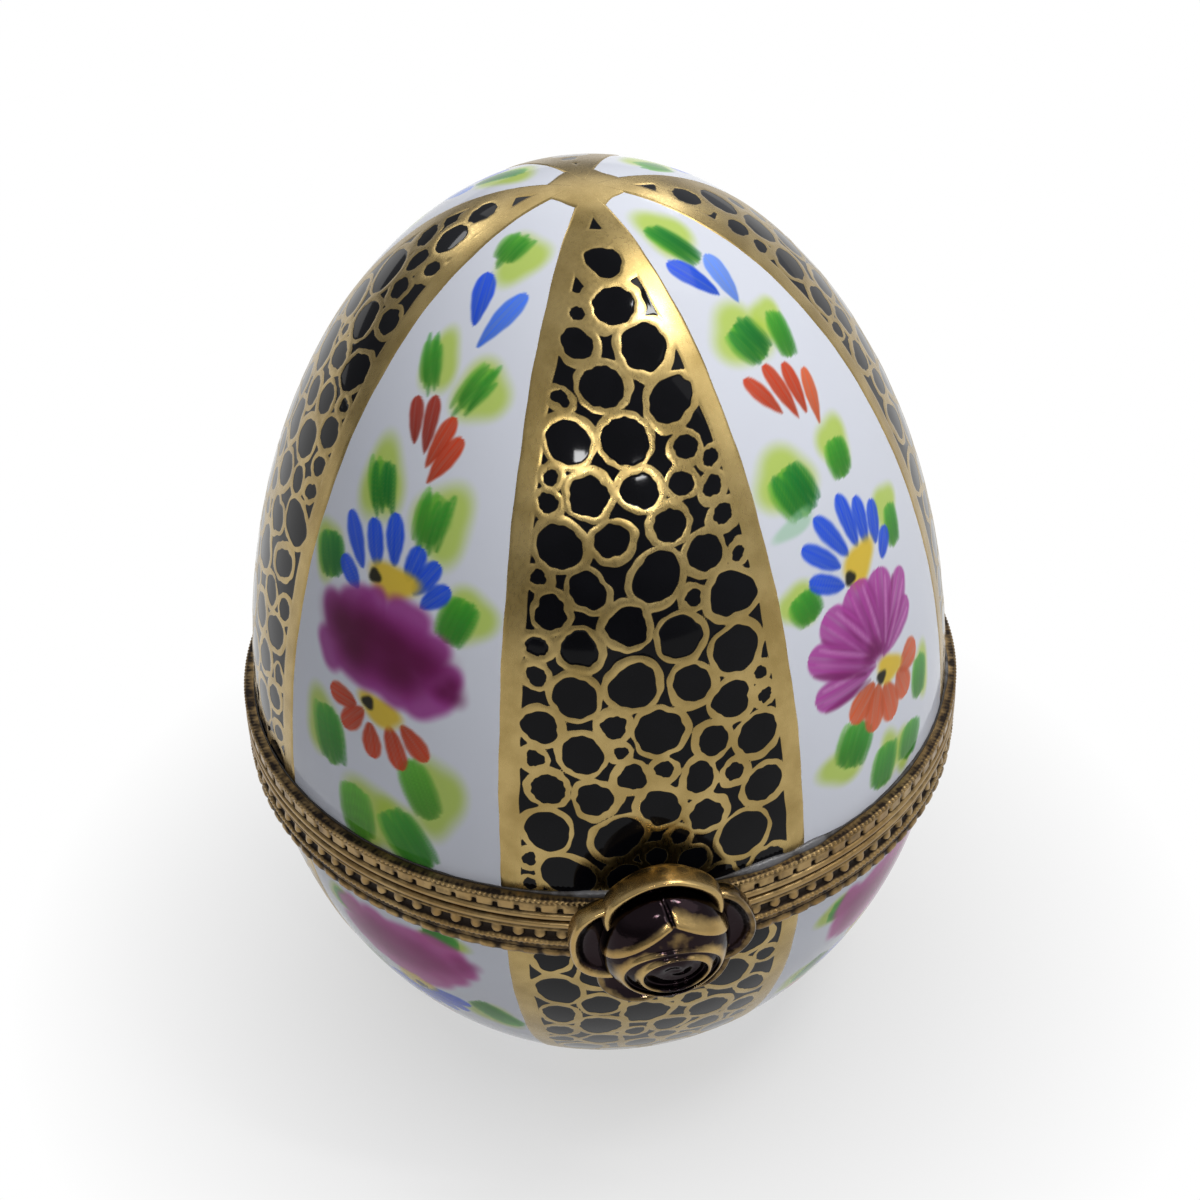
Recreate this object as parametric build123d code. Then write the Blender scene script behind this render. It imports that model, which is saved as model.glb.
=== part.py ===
from build123d import *
import os
from math import cos, radians, sin

# A porcelain egg box: two egg-shaped shells, each rimmed by a stamped brass collar bedded in cement,
# joined at the back by a five-knuckle hinge and closed at the front by a rose clasp on a spring tongue.
# Millimetres. Origin at the centre of the foot, +Z up, clasp towards -Y, hinge towards +Y.

# Porcelain shells
foot_to_seam = 24.0          # height of the opening line above the foot
lid_rise = 35.6              # apex of the lid above the opening line
shell_radius = 22.2          # outer radius of both shells at the opening line
foot_radius = 9.8            # where the foot cuts the base's curve short
wall = 2.4
floor_thickness = 2.8
foot_ring_width = 2.0
foot_recess = 0.6
foot_rounding = 0.5

# Brass collars
seam_gap = 0.12              # dark line between the closed collars
collar_face = 0.6            # flat brass face that caps each porcelain rim
collar_band = 0.38           # metal behind the mouldings
moulding_depth = 0.3         # how far the crests of the mouldings stand out from the band
lid_collar_height = 1.6
base_collar_height = 2.9
lip_ridge = 0.26             # radius of the ridge on each side of the opening line
edge_ridge = 0.30            # radius of the rolled outer edge of each collar
milled_ridge = 0.20          # radius of the fine ridge under the bead channel
milled_ridge_drop = 1.75     # below the opening line
bead_count = 110             # stamped beads in the base collar's channel, and pads on the lid collar
bead_width = 0.7
bead_height = 0.75
bead_drop = 1.02             # centre of the bead row below the opening line
bead_depth = 0.2             # how far a bead stands out from the band
pad_height = 0.4
pad_rise = 0.78              # centre of the pad row above the opening line
bead_root = 0.1              # how deep a bead is rooted in the band

# Cement bed
cement = 0.12                # thickness between porcelain and brass
cement_fillet = 0.3          # bead of cement that shows along the collar's edge

# Hinge
hinge_width = 11.0
knuckle_count = 5
knuckle_radius = 1.2
knuckle_gap = 0.1
leaf_thickness = 0.5
turning_clearance = 0.2      # between a knuckle and the other leaf
pin_radius = 0.5
pin_clearance = 0.05
pin_head_radius = 0.8
pin_head_length = 0.35
pin_head_rounding = 0.25

# Clasp
tongue_width = 5.0
tongue_thickness = 0.5
tongue_rise = 1.3            # above the opening line, where it is soldered to the lid's collar
tongue_drop = 2.5            # below the opening line
tongue_clearance = 0.15      # between the tongue's lip and the base's collar
tongue_lip = 0.6             # height of the lip that passes under the catch stud
catch_relief = 0.15          # recess above the lip, where the stud sits
stud_radius = 0.6
stud_drop = 1.15             # below the opening line
stud_clearance = 0.05        # between the stud's crest and the tongue's lip

# Rose on the clasp
rose_lift = 0.3              # centre of the rose above the opening line
petal_count = 5
petal_radius = 2.5
petal_ring = 2.9             # distance of each petal's centre from the rose's centre
petal_thickness = 1.0
petal_tilt = 95.0            # direction of the first petal, in degrees from the right
petal_dish = 0.45            # depth of each petal's hollow
petal_dish_radius = 3.2
bud_radius = 3.7
bud_height = 2.7
bud_heart_radius = 1.55
outer_whorl_drop = 0.38      # top of each whorl below the crown of the bud
middle_whorl_drop = 0.13
whorl_petals = 3
whorl_lip = 0.55             # metal left at the corners of a whorl's mouth
mouth_rounding = 0.5
mouth_depth = 1.6
bud_hollow_depth = 0.9
rivet_radius = 0.6
rivet_depth = 1.4            # how far the rivet reaches into the rosebud

# Values that follow from those above
seam = foot_to_seam
half_gap = seam_gap / 2
bore_radius = shell_radius - wall
band_inner = shell_radius + cement
band_outer = band_inner + collar_band
collar_radius = band_outer + moulding_depth
base_curve_depth = foot_to_seam / (1 - (foot_radius / shell_radius) ** 2) ** 0.5
hinge_y = collar_radius + leaf_thickness + knuckle_radius
tongue_inner = collar_radius + tongue_clearance
tongue_outer = tongue_inner + tongue_thickness
rose_plane = Plane(origin=(0, -tongue_outer, seam + rose_lift), x_dir=(1, 0, 0), z_dir=(0, -1, 0))


def block(r0, r1, z0, z1):
    """Rectangle in the half-plane of radius and height, between two radii and two heights."""
    return Pos((r0 + r1) / 2, (z0 + z1) / 2) * Rectangle(r1 - r0, z1 - z0)


def disc(r, z, radius):
    return Pos(r, z) * Circle(radius)


def spin(face):
    """Turns a profile, drawn as radius and height, into a solid of revolution about the egg's axis."""
    return revolve(Plane.XZ * face, Axis.Z)


def pillar(radius, low, high):
    """Upright cylinder about the egg's axis."""
    return Pos(0, 0, (low + high) / 2) * Cylinder(radius, high - low)


# Profiles of the turned pieces

def lid_shell_profile():
    rim = seam + half_gap + collar_face + cement
    outer = Pos(0, seam) * Ellipse(shell_radius, lid_rise)
    inner = Pos(0, seam) * Ellipse(bore_radius, lid_rise - wall)
    return (outer - inner) & block(0, 2 * shell_radius, rim, seam + 2 * lid_rise)


def base_shell_profile():
    rim = seam - half_gap - collar_face - cement
    outer = Pos(0, seam) * Ellipse(shell_radius, base_curve_depth)
    inner = Pos(0, seam) * Ellipse(bore_radius, foot_to_seam - floor_thickness)
    body = (outer - inner) & block(0, 2 * shell_radius, 0, rim)
    body -= block(0, foot_radius - foot_ring_width, 0, foot_recess)
    heel = body.vertices().group_by(Axis.Y)[0].sort_by(Axis.X)[-1]
    return fillet(heel, foot_rounding)


def collar_profile(direction, height, ridges):
    """L-shaped band with a flat face over the rim; direction is +1 above the opening line and -1 below."""
    near = seam + direction * half_gap
    inside = near + direction * collar_face
    far = near + direction * height
    face_plate = block(bore_radius, band_outer, min(near, inside), max(near, inside))
    band = block(band_inner, band_outer, min(near, far), max(near, far))
    profile = face_plate + band
    for drop, radius in ridges:
        profile += disc(collar_radius - radius, near + direction * drop, radius)
        profile += block(band_inner, collar_radius - radius,
                         near + direction * drop - radius, near + direction * drop + radius)
    return profile


def bead_ring(centre, height):
    """Row of square beads round the axis: radial bars on a thin ring, rooted in the collar's band."""
    root = band_outer - bead_root
    crest = band_outer + bead_depth
    bars = PolarLocations((root + crest) / 2, bead_count) * Rectangle(crest - root, bead_width)
    return Pos(0, 0, centre - height / 2) * extrude(Sketch() + bars, height)


def lid_collar_profile():
    return collar_profile(1, lid_collar_height, [
        (lip_ridge, lip_ridge),
        (lid_collar_height - edge_ridge, edge_ridge)])


def base_collar_profile():
    return collar_profile(-1, base_collar_height, [
        (lip_ridge, lip_ridge),
        (milled_ridge_drop, milled_ridge),
        (base_collar_height - edge_ridge, edge_ridge)])


def cement_profile(direction, height, shell, collar):
    """Fills the space between a shell and its collar, with a small fillet along the collar's edge."""
    near = seam + direction * half_gap
    far = near + direction * height
    bed = block(bore_radius, band_outer, min(near, far), max(near, far))
    tip = far + direction * cement_fillet
    bead = make_face(Polyline((shell_radius - wall, far), (band_outer, far), (shell_radius - cement, tip),
                              (shell_radius - wall, tip), close=True))
    hole = block(0, bore_radius, 0, seam + lid_rise)
    return bed + bead - shell - collar - hole


# Hinge

def knuckle_spans(owner):
    """X positions (from, to) of the knuckles of one leaf: owner 0 is the base, 1 the lid."""
    pitch = hinge_width / knuckle_count
    spans = []
    for k in range(owner, knuckle_count, 2):
        start = -hinge_width / 2 + k * pitch
        spans.append((start + knuckle_gap / 2, start + pitch - knuckle_gap / 2))
    return spans


def barrel(span, radius):
    """Cylinder on the hinge axis between two X positions."""
    start, end = span
    return Pos((start + end) / 2, hinge_y, seam) * Rot(0, 90, 0) * Cylinder(radius, end - start)


def slab(span, y0, y1, z0, z1):
    start, end = span
    return Pos((start + end) / 2, (y0 + y1) / 2, (z0 + z1) / 2) * Box(end - start, y1 - y0, z1 - z0)


def hinge_leaf(owner, direction, height):
    """Saddle plate against the collar with its knuckles; direction is +1 for the lid and -1 for the base."""
    near = seam + direction * half_gap
    far = near + direction * height
    low, high = min(near, far), max(near, far)
    web_far = seam + direction * knuckle_radius
    saddle_back = collar_radius - hinge_width / 4
    leaf = slab((-hinge_width / 2, hinge_width / 2), saddle_back, collar_radius + leaf_thickness, low, high)
    for span in knuckle_spans(owner):
        leaf += slab(span, collar_radius, hinge_y, min(near, web_far), max(near, web_far))
        leaf += barrel(span, knuckle_radius)
    for start, end in knuckle_spans(1 - owner):
        relief = (start - knuckle_gap, end + knuckle_gap)
        leaf -= barrel(relief, knuckle_radius + turning_clearance)
    leaf -= pillar(collar_radius, 0, seam + lid_rise)
    leaf -= barrel((-hinge_width, hinge_width), pin_radius + pin_clearance)
    return leaf


def hinge_pin():
    """Plain wire with both ends peened over into low domes."""
    half = hinge_width / 2
    pin = barrel((-half - pin_head_length, half + pin_head_length), pin_radius)
    for start in (-half - pin_head_length, half):
        pin += barrel((start, start + pin_head_length), pin_head_radius)
    rims = pin.edges().filter_by(GeomType.CIRCLE).sort_by(Axis.X)
    return fillet([rims[0], rims[-1]], pin_head_rounding)


# Clasp

def clasp_tongue():
    """Curved spring strip: soldered to the lid's lip, standing clear of the base, with a lip under the stud."""
    top = seam + tongue_rise
    bottom = seam - tongue_drop
    section = block(collar_radius, tongue_outer, bottom, top)
    section -= block(collar_radius, tongue_inner, bottom, seam + half_gap)
    section -= block(tongue_inner, tongue_inner + catch_relief, bottom + tongue_lip, seam - half_gap)
    ring = spin(section)
    front = Pos(0, -collar_radius, seam) * Box(tongue_width, collar_radius, 4 * (tongue_rise + tongue_drop))
    return (ring & front) - rivet_shank()


def catch_stud():
    """Low dome on the base's collar that the tongue's lip snaps under."""
    crest = tongue_inner - stud_clearance
    ball = Pos(0, stud_radius - crest, seam - stud_drop) * Sphere(stud_radius)
    return ball - pillar(band_outer, 0, seam)


def rivet_shank():
    """Rivet that ties the rose to the tongue, flush with the tongue's inner side."""
    length = (tongue_outer - tongue_inner) + petal_thickness + rivet_depth
    start = -(tongue_outer - tongue_inner) + catch_relief
    shank = Pos(0, 0, start + (length - catch_relief) / 2) * Cylinder(rivet_radius, length - catch_relief)
    return rose_plane * shank


def petal_places():
    for k in range(petal_count):
        turn = radians(petal_tilt + 360 / petal_count * k)
        yield petal_ring * cos(turn), petal_ring * sin(turn)


def clasp_petals():
    """Open outer petals of the rose: a ring of dished discs that saddles the tongue."""
    depth = tongue_outer - collar_radius
    petals = Pos(0, 0, (petal_thickness - depth) / 2) * Cylinder(petal_ring, petal_thickness + depth)
    for x, y in petal_places():
        petals += Pos(x, y, (petal_thickness - depth) / 2) * Cylinder(petal_radius, petal_thickness + depth)
    for x, y in petal_places():
        petals -= Pos(x, y, petal_thickness + petal_dish_radius - petal_dish) * Sphere(petal_dish_radius)
    petals -= Pos(0, 0, petal_thickness) * Cylinder(bud_radius, 2 * petal_dish)
    placed = rose_plane * petals
    return placed - pillar(tongue_outer, 0, seam + lid_rise) - rivet_shank()


def dome(radius, height):
    """Half an ellipsoid standing on the rose's plane."""
    quarter = Ellipse(radius, height) & (Pos(radius / 2, height / 2) * Rectangle(radius, height))
    return revolve(Plane.XZ * quarter, Axis.Z)


def bud_layer(radius, height, turn):
    """One whorl of folded petals: a dome with a rounded triangle opened in its crown."""
    mouth = fillet(RegularPolygon(radius - whorl_lip, whorl_petals).vertices(), mouth_rounding)
    return dome(radius, height) - Pos(0, 0, height - mouth_depth) * extrude(Rot(0, 0, turn) * mouth, height)


def clasp_rosebud():
    """Folded bud: three whorls nested round a hollow heart, each turned half a petal from the last."""
    middle_radius = (bud_radius + bud_heart_radius) / 2
    first_turn = 90
    bud = bud_layer(bud_radius, bud_height - outer_whorl_drop, first_turn)
    bud += bud_layer(middle_radius, bud_height - middle_whorl_drop, first_turn + 180 / whorl_petals)
    bud += dome(bud_heart_radius, bud_height) - Pos(0, 0, bud_height) * Sphere(bud_hollow_depth)
    seat = petal_thickness - petal_dish
    return rose_plane * (Pos(0, 0, seat) * bud) - rivet_shank()


def main():
    lid_shell = lid_shell_profile()
    base_shell = base_shell_profile()
    lid_collar = lid_collar_profile()
    base_collar = base_collar_profile()
    pieces = {
        "lid_shell": spin(lid_shell),
        "base_shell": spin(base_shell),
        "lid_collar": spin(lid_collar) + bead_ring(seam + pad_rise, pad_height),
        "base_collar": spin(base_collar) + bead_ring(seam - bead_drop, bead_height) - catch_stud(),
        "lid_cement": spin(cement_profile(1, lid_collar_height, lid_shell, lid_collar)),
        "base_cement": spin(cement_profile(-1, base_collar_height, base_shell, base_collar)),
        "lid_hinge_leaf": hinge_leaf(1, 1, lid_collar_height),
        "base_hinge_leaf": hinge_leaf(0, -1, base_collar_height),
        "hinge_pin": hinge_pin(),
        "clasp_tongue": clasp_tongue(),
        "catch_stud": catch_stud(),
        "clasp_rivet": rivet_shank(),
        "clasp_petals": clasp_petals(),
        "clasp_rosebud": clasp_rosebud(),
    }
    os.makedirs("parts", exist_ok=True)
    for name, solid in pieces.items():
        export_step(solid, os.path.join("parts", name + ".step"))


main()
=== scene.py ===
# %% [markdown]
# # A porcelain egg box with brass collars and a rose clasp
# The object is a small hinged box in the shape of an egg. Its two porcelain shells are painted by hand
# and gilt, each rim is bound in stamped brass, and a cast brass rose closes the front.
# The moving parts come from the CAD frame. This script dresses them: every new surface is worked out
# with numpy as a grid of points, and every finish is a node material.

import bmesh
import bpy
import numpy as np
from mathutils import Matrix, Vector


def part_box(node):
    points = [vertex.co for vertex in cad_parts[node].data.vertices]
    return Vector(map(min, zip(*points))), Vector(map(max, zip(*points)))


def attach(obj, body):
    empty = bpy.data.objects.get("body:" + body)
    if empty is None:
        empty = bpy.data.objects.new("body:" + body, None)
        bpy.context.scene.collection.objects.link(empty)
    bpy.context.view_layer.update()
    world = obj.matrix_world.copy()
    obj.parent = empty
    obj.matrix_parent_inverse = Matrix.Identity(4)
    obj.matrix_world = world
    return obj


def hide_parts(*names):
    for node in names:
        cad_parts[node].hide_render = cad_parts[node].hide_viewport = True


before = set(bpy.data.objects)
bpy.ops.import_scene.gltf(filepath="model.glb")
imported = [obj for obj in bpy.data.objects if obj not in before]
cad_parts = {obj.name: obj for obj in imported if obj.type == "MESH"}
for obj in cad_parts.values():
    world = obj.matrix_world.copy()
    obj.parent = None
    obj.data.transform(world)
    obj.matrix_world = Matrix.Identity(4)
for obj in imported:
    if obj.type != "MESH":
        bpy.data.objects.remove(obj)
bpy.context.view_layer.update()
print("CAD nodes:", sorted(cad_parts))

# %% [markdown]
# ## Sizes
# A painter works on the shells as they come from the kiln, so the decoration has to follow their curve
# exactly. The sizes below are read from the frame's boxes, and the few that a box can't show, such as the
# thickness of the brass, are named once here. All lengths in this file are millimetres; the mesh helper
# turns them into Blender's metres.

# %% Sizes from the frame
MM = 0.001


def node_box(node):
    """Lowest and highest corner of a CAD node in millimetres."""
    low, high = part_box(node)
    return np.array(low) / MM, np.array(high) / MM


seam = (node_box("lid_collar")[0][2] + node_box("base_collar")[1][2]) / 2
seam_gap = node_box("lid_collar")[0][2] - node_box("base_collar")[1][2]
lid_rise = node_box("lid_shell")[1][2] - seam
collar_radius = node_box("base_collar")[1][0]
lid_collar_height = np.ptp([corner[2] for corner in node_box("lid_collar")])
base_collar_height = np.ptp([corner[2] for corner in node_box("base_collar")])
moulding_depth = 0.30
collar_band = 0.38
cement = 0.12
collar_face = 0.6
wall = 2.4
floor_thickness = 2.8
foot_radius = 9.8
foot_recess = 0.6
foot_ring_width = 2.0
foot_rounding = 0.5

band_outer = collar_radius - moulding_depth
band_inner = band_outer - collar_band
shell_radius = band_inner - cement
bore_radius = shell_radius - wall
base_curve_depth = seam / np.sqrt(1 - (foot_radius / shell_radius) ** 2)
print("seam %.2f, lid rise %.2f, shell radius %.2f mm" % (seam, lid_rise, shell_radius))

# %% [markdown]
# ## From a grid of points to a mesh
# Blender can turn or loft shapes with modifiers, but a grid gives full control: each row is one step along
# a profile, each column one step round the axis, and four neighbours make a face. A grid can also carry
# values for the materials, such as the colour that a brush left at each point, stored as mesh attributes.

# %% Mesh helper
WELD_REACH = 1e-7


def weld(mesh):
    """Merges points that coincide, so that poles and seams are closed."""
    form = bmesh.new()
    form.from_mesh(mesh)
    bmesh.ops.remove_doubles(form, verts=form.verts, dist=WELD_REACH)
    form.to_mesh(mesh)
    form.free()


def surface(name, points, wrap_rows=False, wrap_columns=False, values=None, paint=None, sharp_angle=None):
    """Mesh object from points of shape (rows, columns, 3) in millimetres.

    Face corners run column, then row, so a face looks along (next column - here) x (next row - here).
    Wrapping joins the last row or column to the first. Points that coincide, as at a pole, are welded.
    """
    rows, columns = points.shape[:2]
    index = np.arange(rows * columns).reshape(rows, columns)
    if wrap_columns:
        index = np.concatenate([index, index[:, :1]], axis=1)
    if wrap_rows:
        index = np.concatenate([index, index[:1]], axis=0)
    quads = np.stack([index[:-1, :-1], index[:-1, 1:], index[1:, 1:], index[1:, :-1]], axis=-1)
    mesh = bpy.data.meshes.new(name)
    mesh.from_pydata((points.reshape(-1, 3) * MM).tolist(), [], quads.reshape(-1, 4).tolist())
    for label, array in (values or {}).items():
        layer = mesh.attributes.new(label, "FLOAT", "POINT")
        layer.data.foreach_set("value", np.ascontiguousarray(array, dtype=np.float32).ravel())
    if paint is not None:
        colour = np.ones((rows * columns, 4), dtype=np.float32)
        colour[:, :3] = paint.reshape(-1, 3)
        mesh.attributes.new("paint", "FLOAT_COLOR", "POINT").data.foreach_set("color", colour.ravel())
    weld(mesh)
    mesh.shade_smooth()
    if sharp_angle:
        mesh.set_sharp_from_angle(angle=np.radians(sharp_angle))
    made = bpy.data.objects.new(name, mesh)
    bpy.context.scene.collection.objects.link(made)
    return made


def fit(piece, body, slot, material, *nodes):
    """Gives a piece its finish, lets it ride on a body and hides the CAD nodes it stands for."""
    piece.data.materials.append(material)
    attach(piece, body)
    if nodes:
        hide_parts(*nodes)
    print("%s: %d faces" % (piece.name, len(piece.data.polygons)))
    return piece


# %% [markdown]
# ## Small tools for formulas
# A few functions come back throughout the file: a soft step from 0 to 1, a smooth path through a few chosen
# points, the steps and points of a turn round the egg's axis, and the change from the colour one sees to the
# linear light that a renderer counts in.

# %% Formula helpers
def step(low, high, x):
    """0 below low, 1 above high, and 3t^2 - 2t^3 in between; low may be the larger of the two."""
    t = np.clip((x - low) / (high - low), 0, 1)
    return t * t * (3 - 2 * t)


def smooth_path(knots, count):
    """Spline through the knots: a cubic between each pair, with slopes from the knots either side."""
    knots = np.array(knots, dtype=float)
    padded = np.concatenate([2 * knots[:1] - knots[1:2], knots, 2 * knots[-1:] - knots[-2:-1]])
    place = np.linspace(0, len(knots) - 1, count)
    k = np.minimum(place.astype(int), len(knots) - 2)
    t = (place - k)[:, None]
    before, here, after, beyond = (padded[k + shift] for shift in range(4))
    return 0.5 * (2 * here + (after - before) * t + (2 * before - 5 * here + 4 * after - beyond) * t ** 2
                  + (3 * here - before - 3 * after + beyond) * t ** 3)


def full_turn(count):
    """Equal steps round a circle."""
    return np.linspace(0, 2 * np.pi, count, endpoint=False)


def round_axis(radius, azimuth, height):
    """Points at (radius sin azimuth, -radius cos azimuth, height); azimuth 0 is the clasp's side."""
    return np.stack(np.broadcast_arrays(radius * np.sin(azimuth), -radius * np.cos(azimuth), height), -1)


def linear(colour):
    """Linear light from a display colour given as 0 to 255."""
    seen = np.asarray(colour, dtype=float) / 255
    return np.where(seen <= 0.04045, seen / 12.92, ((seen + 0.055) / 1.055) ** 2.4)


def rgba(*colour):
    """A display colour as the four numbers of a shader's colour socket."""
    return (*linear(colour), 1.0)


# %% [markdown]
# ## Points on the egg
# Both shells are half ellipses turned round the upright axis. The decorator measures along the surface, so
# a place on a shell is given by its azimuth, counted from the clasp towards the right, and by its arc, the
# length along the curve from the seam. The arc of an ellipse has no plain formula, so it is summed over
# fine steps and looked up.

# %% Shell coordinates
CURVE_DEPTH = {"lid": lid_rise, "base": base_curve_depth}
SENSE = {"lid": 1, "base": -1}
CURVE_STEPS = np.linspace(0, np.pi / 2, 4000)


def arc_table(depth):
    """Length along the ellipse (radius cos t, depth sin t) from the seam to each t in CURVE_STEPS."""
    pieces = np.hypot(np.diff(shell_radius * np.cos(CURVE_STEPS)), np.diff(depth * np.sin(CURVE_STEPS)))
    return np.concatenate([[0], np.cumsum(pieces)])


ARCS = {half: arc_table(depth) for half, depth in CURVE_DEPTH.items()}
lid_arc = ARCS["lid"][-1]
foot_arc = np.interp(np.arcsin(seam / base_curve_depth), CURVE_STEPS, ARCS["base"])


def girth(half, arc):
    """Radius of the shell at a given arc from the seam."""
    return shell_radius * np.cos(np.interp(arc, ARCS[half], CURVE_STEPS))


def on_shell(half, azimuth, arc, lift=0.0):
    """Points at an azimuth and arc, raised by lift along the ellipse's normal (cos t / a, sin t / b)."""
    depth = CURVE_DEPTH[half]
    t = np.interp(arc, ARCS[half], CURVE_STEPS)
    out, along = np.cos(t) / shell_radius, np.sin(t) / depth
    size = np.hypot(out, along)
    radius = shell_radius * np.cos(t) + lift * out / size
    height = depth * np.sin(t) + lift * along / size
    return round_axis(radius, azimuth, seam + SENSE[half] * height)


print("arc from seam to apex %.1f mm, from seam to foot %.1f mm" % (lid_arc, foot_arc))

# %% [markdown]
# ## Node helpers for the finishes
# A material here is the stock Principled shader with a few nodes in front of it. Object coordinates are in
# metres, so a noise scale of 1000 gives specks about a millimetre across.

# %% Material helpers
def finish(name, **settings):
    """New material with its Principled shader's plain sockets set; returns material, tree and shader."""
    material = bpy.data.materials.new(name)
    material.use_nodes = True
    shader = material.node_tree.nodes["Principled BSDF"]
    for socket, value in settings.items():
        shader.inputs[socket.replace("_", " ")].default_value = value
    return material, material.node_tree, shader


def feed(tree, value, socket):
    """Links a socket to a socket, or sets it to a plain value."""
    if isinstance(value, bpy.types.NodeSocket):
        tree.links.new(value, socket)
    else:
        socket.default_value = value


def noise(tree, scale, detail=3.0, stretch=(1, 1, 1)):
    """Cloudy value from 0 to 1 over the piece, stretched along the axes if asked."""
    place = tree.nodes.new("ShaderNodeTexCoord")
    turn = tree.nodes.new("ShaderNodeMapping")
    turn.inputs["Scale"].default_value = stretch
    cloud = tree.nodes.new("ShaderNodeTexNoise")
    cloud.inputs["Scale"].default_value = scale
    cloud.inputs["Detail"].default_value = detail
    tree.links.new(place.outputs["Object"], turn.inputs["Vector"])
    tree.links.new(turn.outputs["Vector"], cloud.inputs["Vector"])
    return cloud.outputs["Fac"]


def spread(tree, value, low, high, out_low=0.0, out_high=1.0):
    """Maps low..high to out_low..out_high, held at both ends."""
    ramp = tree.nodes.new("ShaderNodeMapRange")
    feed(tree, value, ramp.inputs["Value"])
    for socket, number in (("From Min", low), ("From Max", high), ("To Min", out_low), ("To Max", out_high)):
        ramp.inputs[socket].default_value = number
    return ramp.outputs["Result"]


def blend_colour(tree, factor, first, second):
    """Mixes two colours, each a socket or a plain colour."""
    mix = tree.nodes.new("ShaderNodeMix")
    mix.data_type = "RGBA"
    for value, socket in zip((factor, first, second), (mix.inputs[0], mix.inputs[6], mix.inputs[7])):
        feed(tree, value, socket)
    return mix.outputs[2]


def blend(tree, factor, first, second):
    """Mixes two values, each a socket or a plain number."""
    mix = tree.nodes.new("ShaderNodeMix")
    for value, socket in zip((factor, first, second), (mix.inputs[0], mix.inputs[2], mix.inputs[3])):
        feed(tree, value, socket)
    return mix.outputs[0]


def combine(tree, how, first, second):
    """Arithmetic on two values, held between 0 and 1."""
    sums = tree.nodes.new("ShaderNodeMath")
    sums.operation, sums.use_clamp = how, True
    feed(tree, first, sums.inputs[0])
    feed(tree, second, sums.inputs[1])
    return sums.outputs["Value"]


def attribute(tree, name):
    """Reads a value or colour that a mesh stores at its points."""
    reader = tree.nodes.new("ShaderNodeAttribute")
    reader.attribute_name = name
    return reader


def bump(tree, shader, height, depth, strength):
    """Fine surface relief; depth is its height in metres."""
    relief = tree.nodes.new("ShaderNodeBump")
    relief.inputs["Strength"].default_value = strength
    relief.inputs["Distance"].default_value = depth
    tree.links.new(height, relief.inputs["Height"])
    tree.links.new(relief.outputs["Normal"], shader.inputs["Normal"])


# %% [markdown]
# ## Glazed porcelain
# Porcelain is a cool white under a thin glossy glaze. Fired glaze is never quite even: it pools and thins
# a little, which shows as a slow change in gloss and a faint unevenness in the reflections. The painted
# panels use the same glaze, with their colour read from the brush strokes stored in the mesh.

# %% Glaze materials
PORCELAIN_WHITE = np.array([222, 225, 234])


def glaze(name, painted):
    """White glaze with faint pooling; a painted one takes its colour from the paint attribute."""
    material, tree, shader = finish(name, IOR=1.16 if painted else 1.36)
    cloud = noise(tree, 160)
    body = attribute(tree, "paint").outputs["Color"] if painted else rgba(*PORCELAIN_WHITE)
    pooling = spread(tree, cloud, 0.3, 0.7, 0.0, 0.01 if painted else 0.06)
    tree.links.new(blend_colour(tree, pooling, body, rgba(196, 202, 218)), shader.inputs["Base Color"])
    tree.links.new(spread(tree, cloud, 0.3, 0.7, 0.06, 0.12), shader.inputs["Roughness"])
    bump(tree, shader, noise(tree, 90, 1.0), 0.00012, 0.35)
    return material


porcelain = glaze("glazed_porcelain", painted=False)
painted_porcelain = glaze("painted_porcelain", painted=True)
print("glazes:", porcelain.name, painted_porcelain.name)

# %% [markdown]
# ## The two porcelain shells
# Each shell is slip-cast: an outer skin, a rim that the brass caps, and a plain white inside that shows
# when the lid is open. One profile runs from the middle of the inside, over the rim, to the middle of the
# outside, and is carried round the axis. Both of its ends lie on the axis, so the skin closes at the poles.

# %% Turned shells
ROUND_STEPS = 288


def turned(name, profile):
    """Carries a profile of (radius, height) pairs round the axis in equal turns."""
    radius, height = np.array(profile).T[:, :, None]
    points = round_axis(radius, full_turn(ROUND_STEPS), height)
    return surface(name, points, wrap_columns=True, sharp_angle=40)


def quarter_curve(radius, depth, start, count):
    """(radius cos t, seam + depth sin t) from t = start to the axis at t = a quarter turn."""
    t = np.linspace(start, np.pi / 2, count)
    curve = np.stack([radius * np.cos(t), seam + depth * np.sin(t)], -1)
    curve[-1, 0] = 0
    return curve


rim_rise = seam_gap / 2 + collar_face + cement
lid_inside = quarter_curve(bore_radius, lid_rise - wall, np.arcsin(rim_rise / (lid_rise - wall)), 70)
lid_outside = quarter_curve(shell_radius, lid_rise, np.arcsin(rim_rise / lid_rise), 110)
lid_body = turned("lid_porcelain", np.concatenate([lid_inside[::-1], lid_outside]))
fit(lid_body, "lid", "porcelain", porcelain, "lid_shell")

inner_depth = seam - floor_thickness
base_inside = quarter_curve(bore_radius, -inner_depth, np.arcsin(rim_rise / inner_depth), 70)
t_foot = np.arcsin((seam - foot_rounding) / base_curve_depth)
t = np.linspace(np.arcsin(rim_rise / base_curve_depth), t_foot, 80)
base_outside = np.stack([shell_radius * np.cos(t), seam - base_curve_depth * np.sin(t)], -1)
heel = base_outside[-1, 0]
ring_inner = foot_radius - foot_ring_width
foot = np.array([(heel - 0.12, 0.22), (heel - 0.34, 0.06), (heel - 0.62, 0.0), (ring_inner, 0.0),
                 (ring_inner - 0.1, foot_recess), (0.0, foot_recess)])
base_profile = np.concatenate([base_outside, foot])[::-1]
base_body = turned("base_porcelain", np.concatenate([base_profile, base_inside]))
fit(base_body, "base", "porcelain", porcelain, "base_shell")

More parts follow.
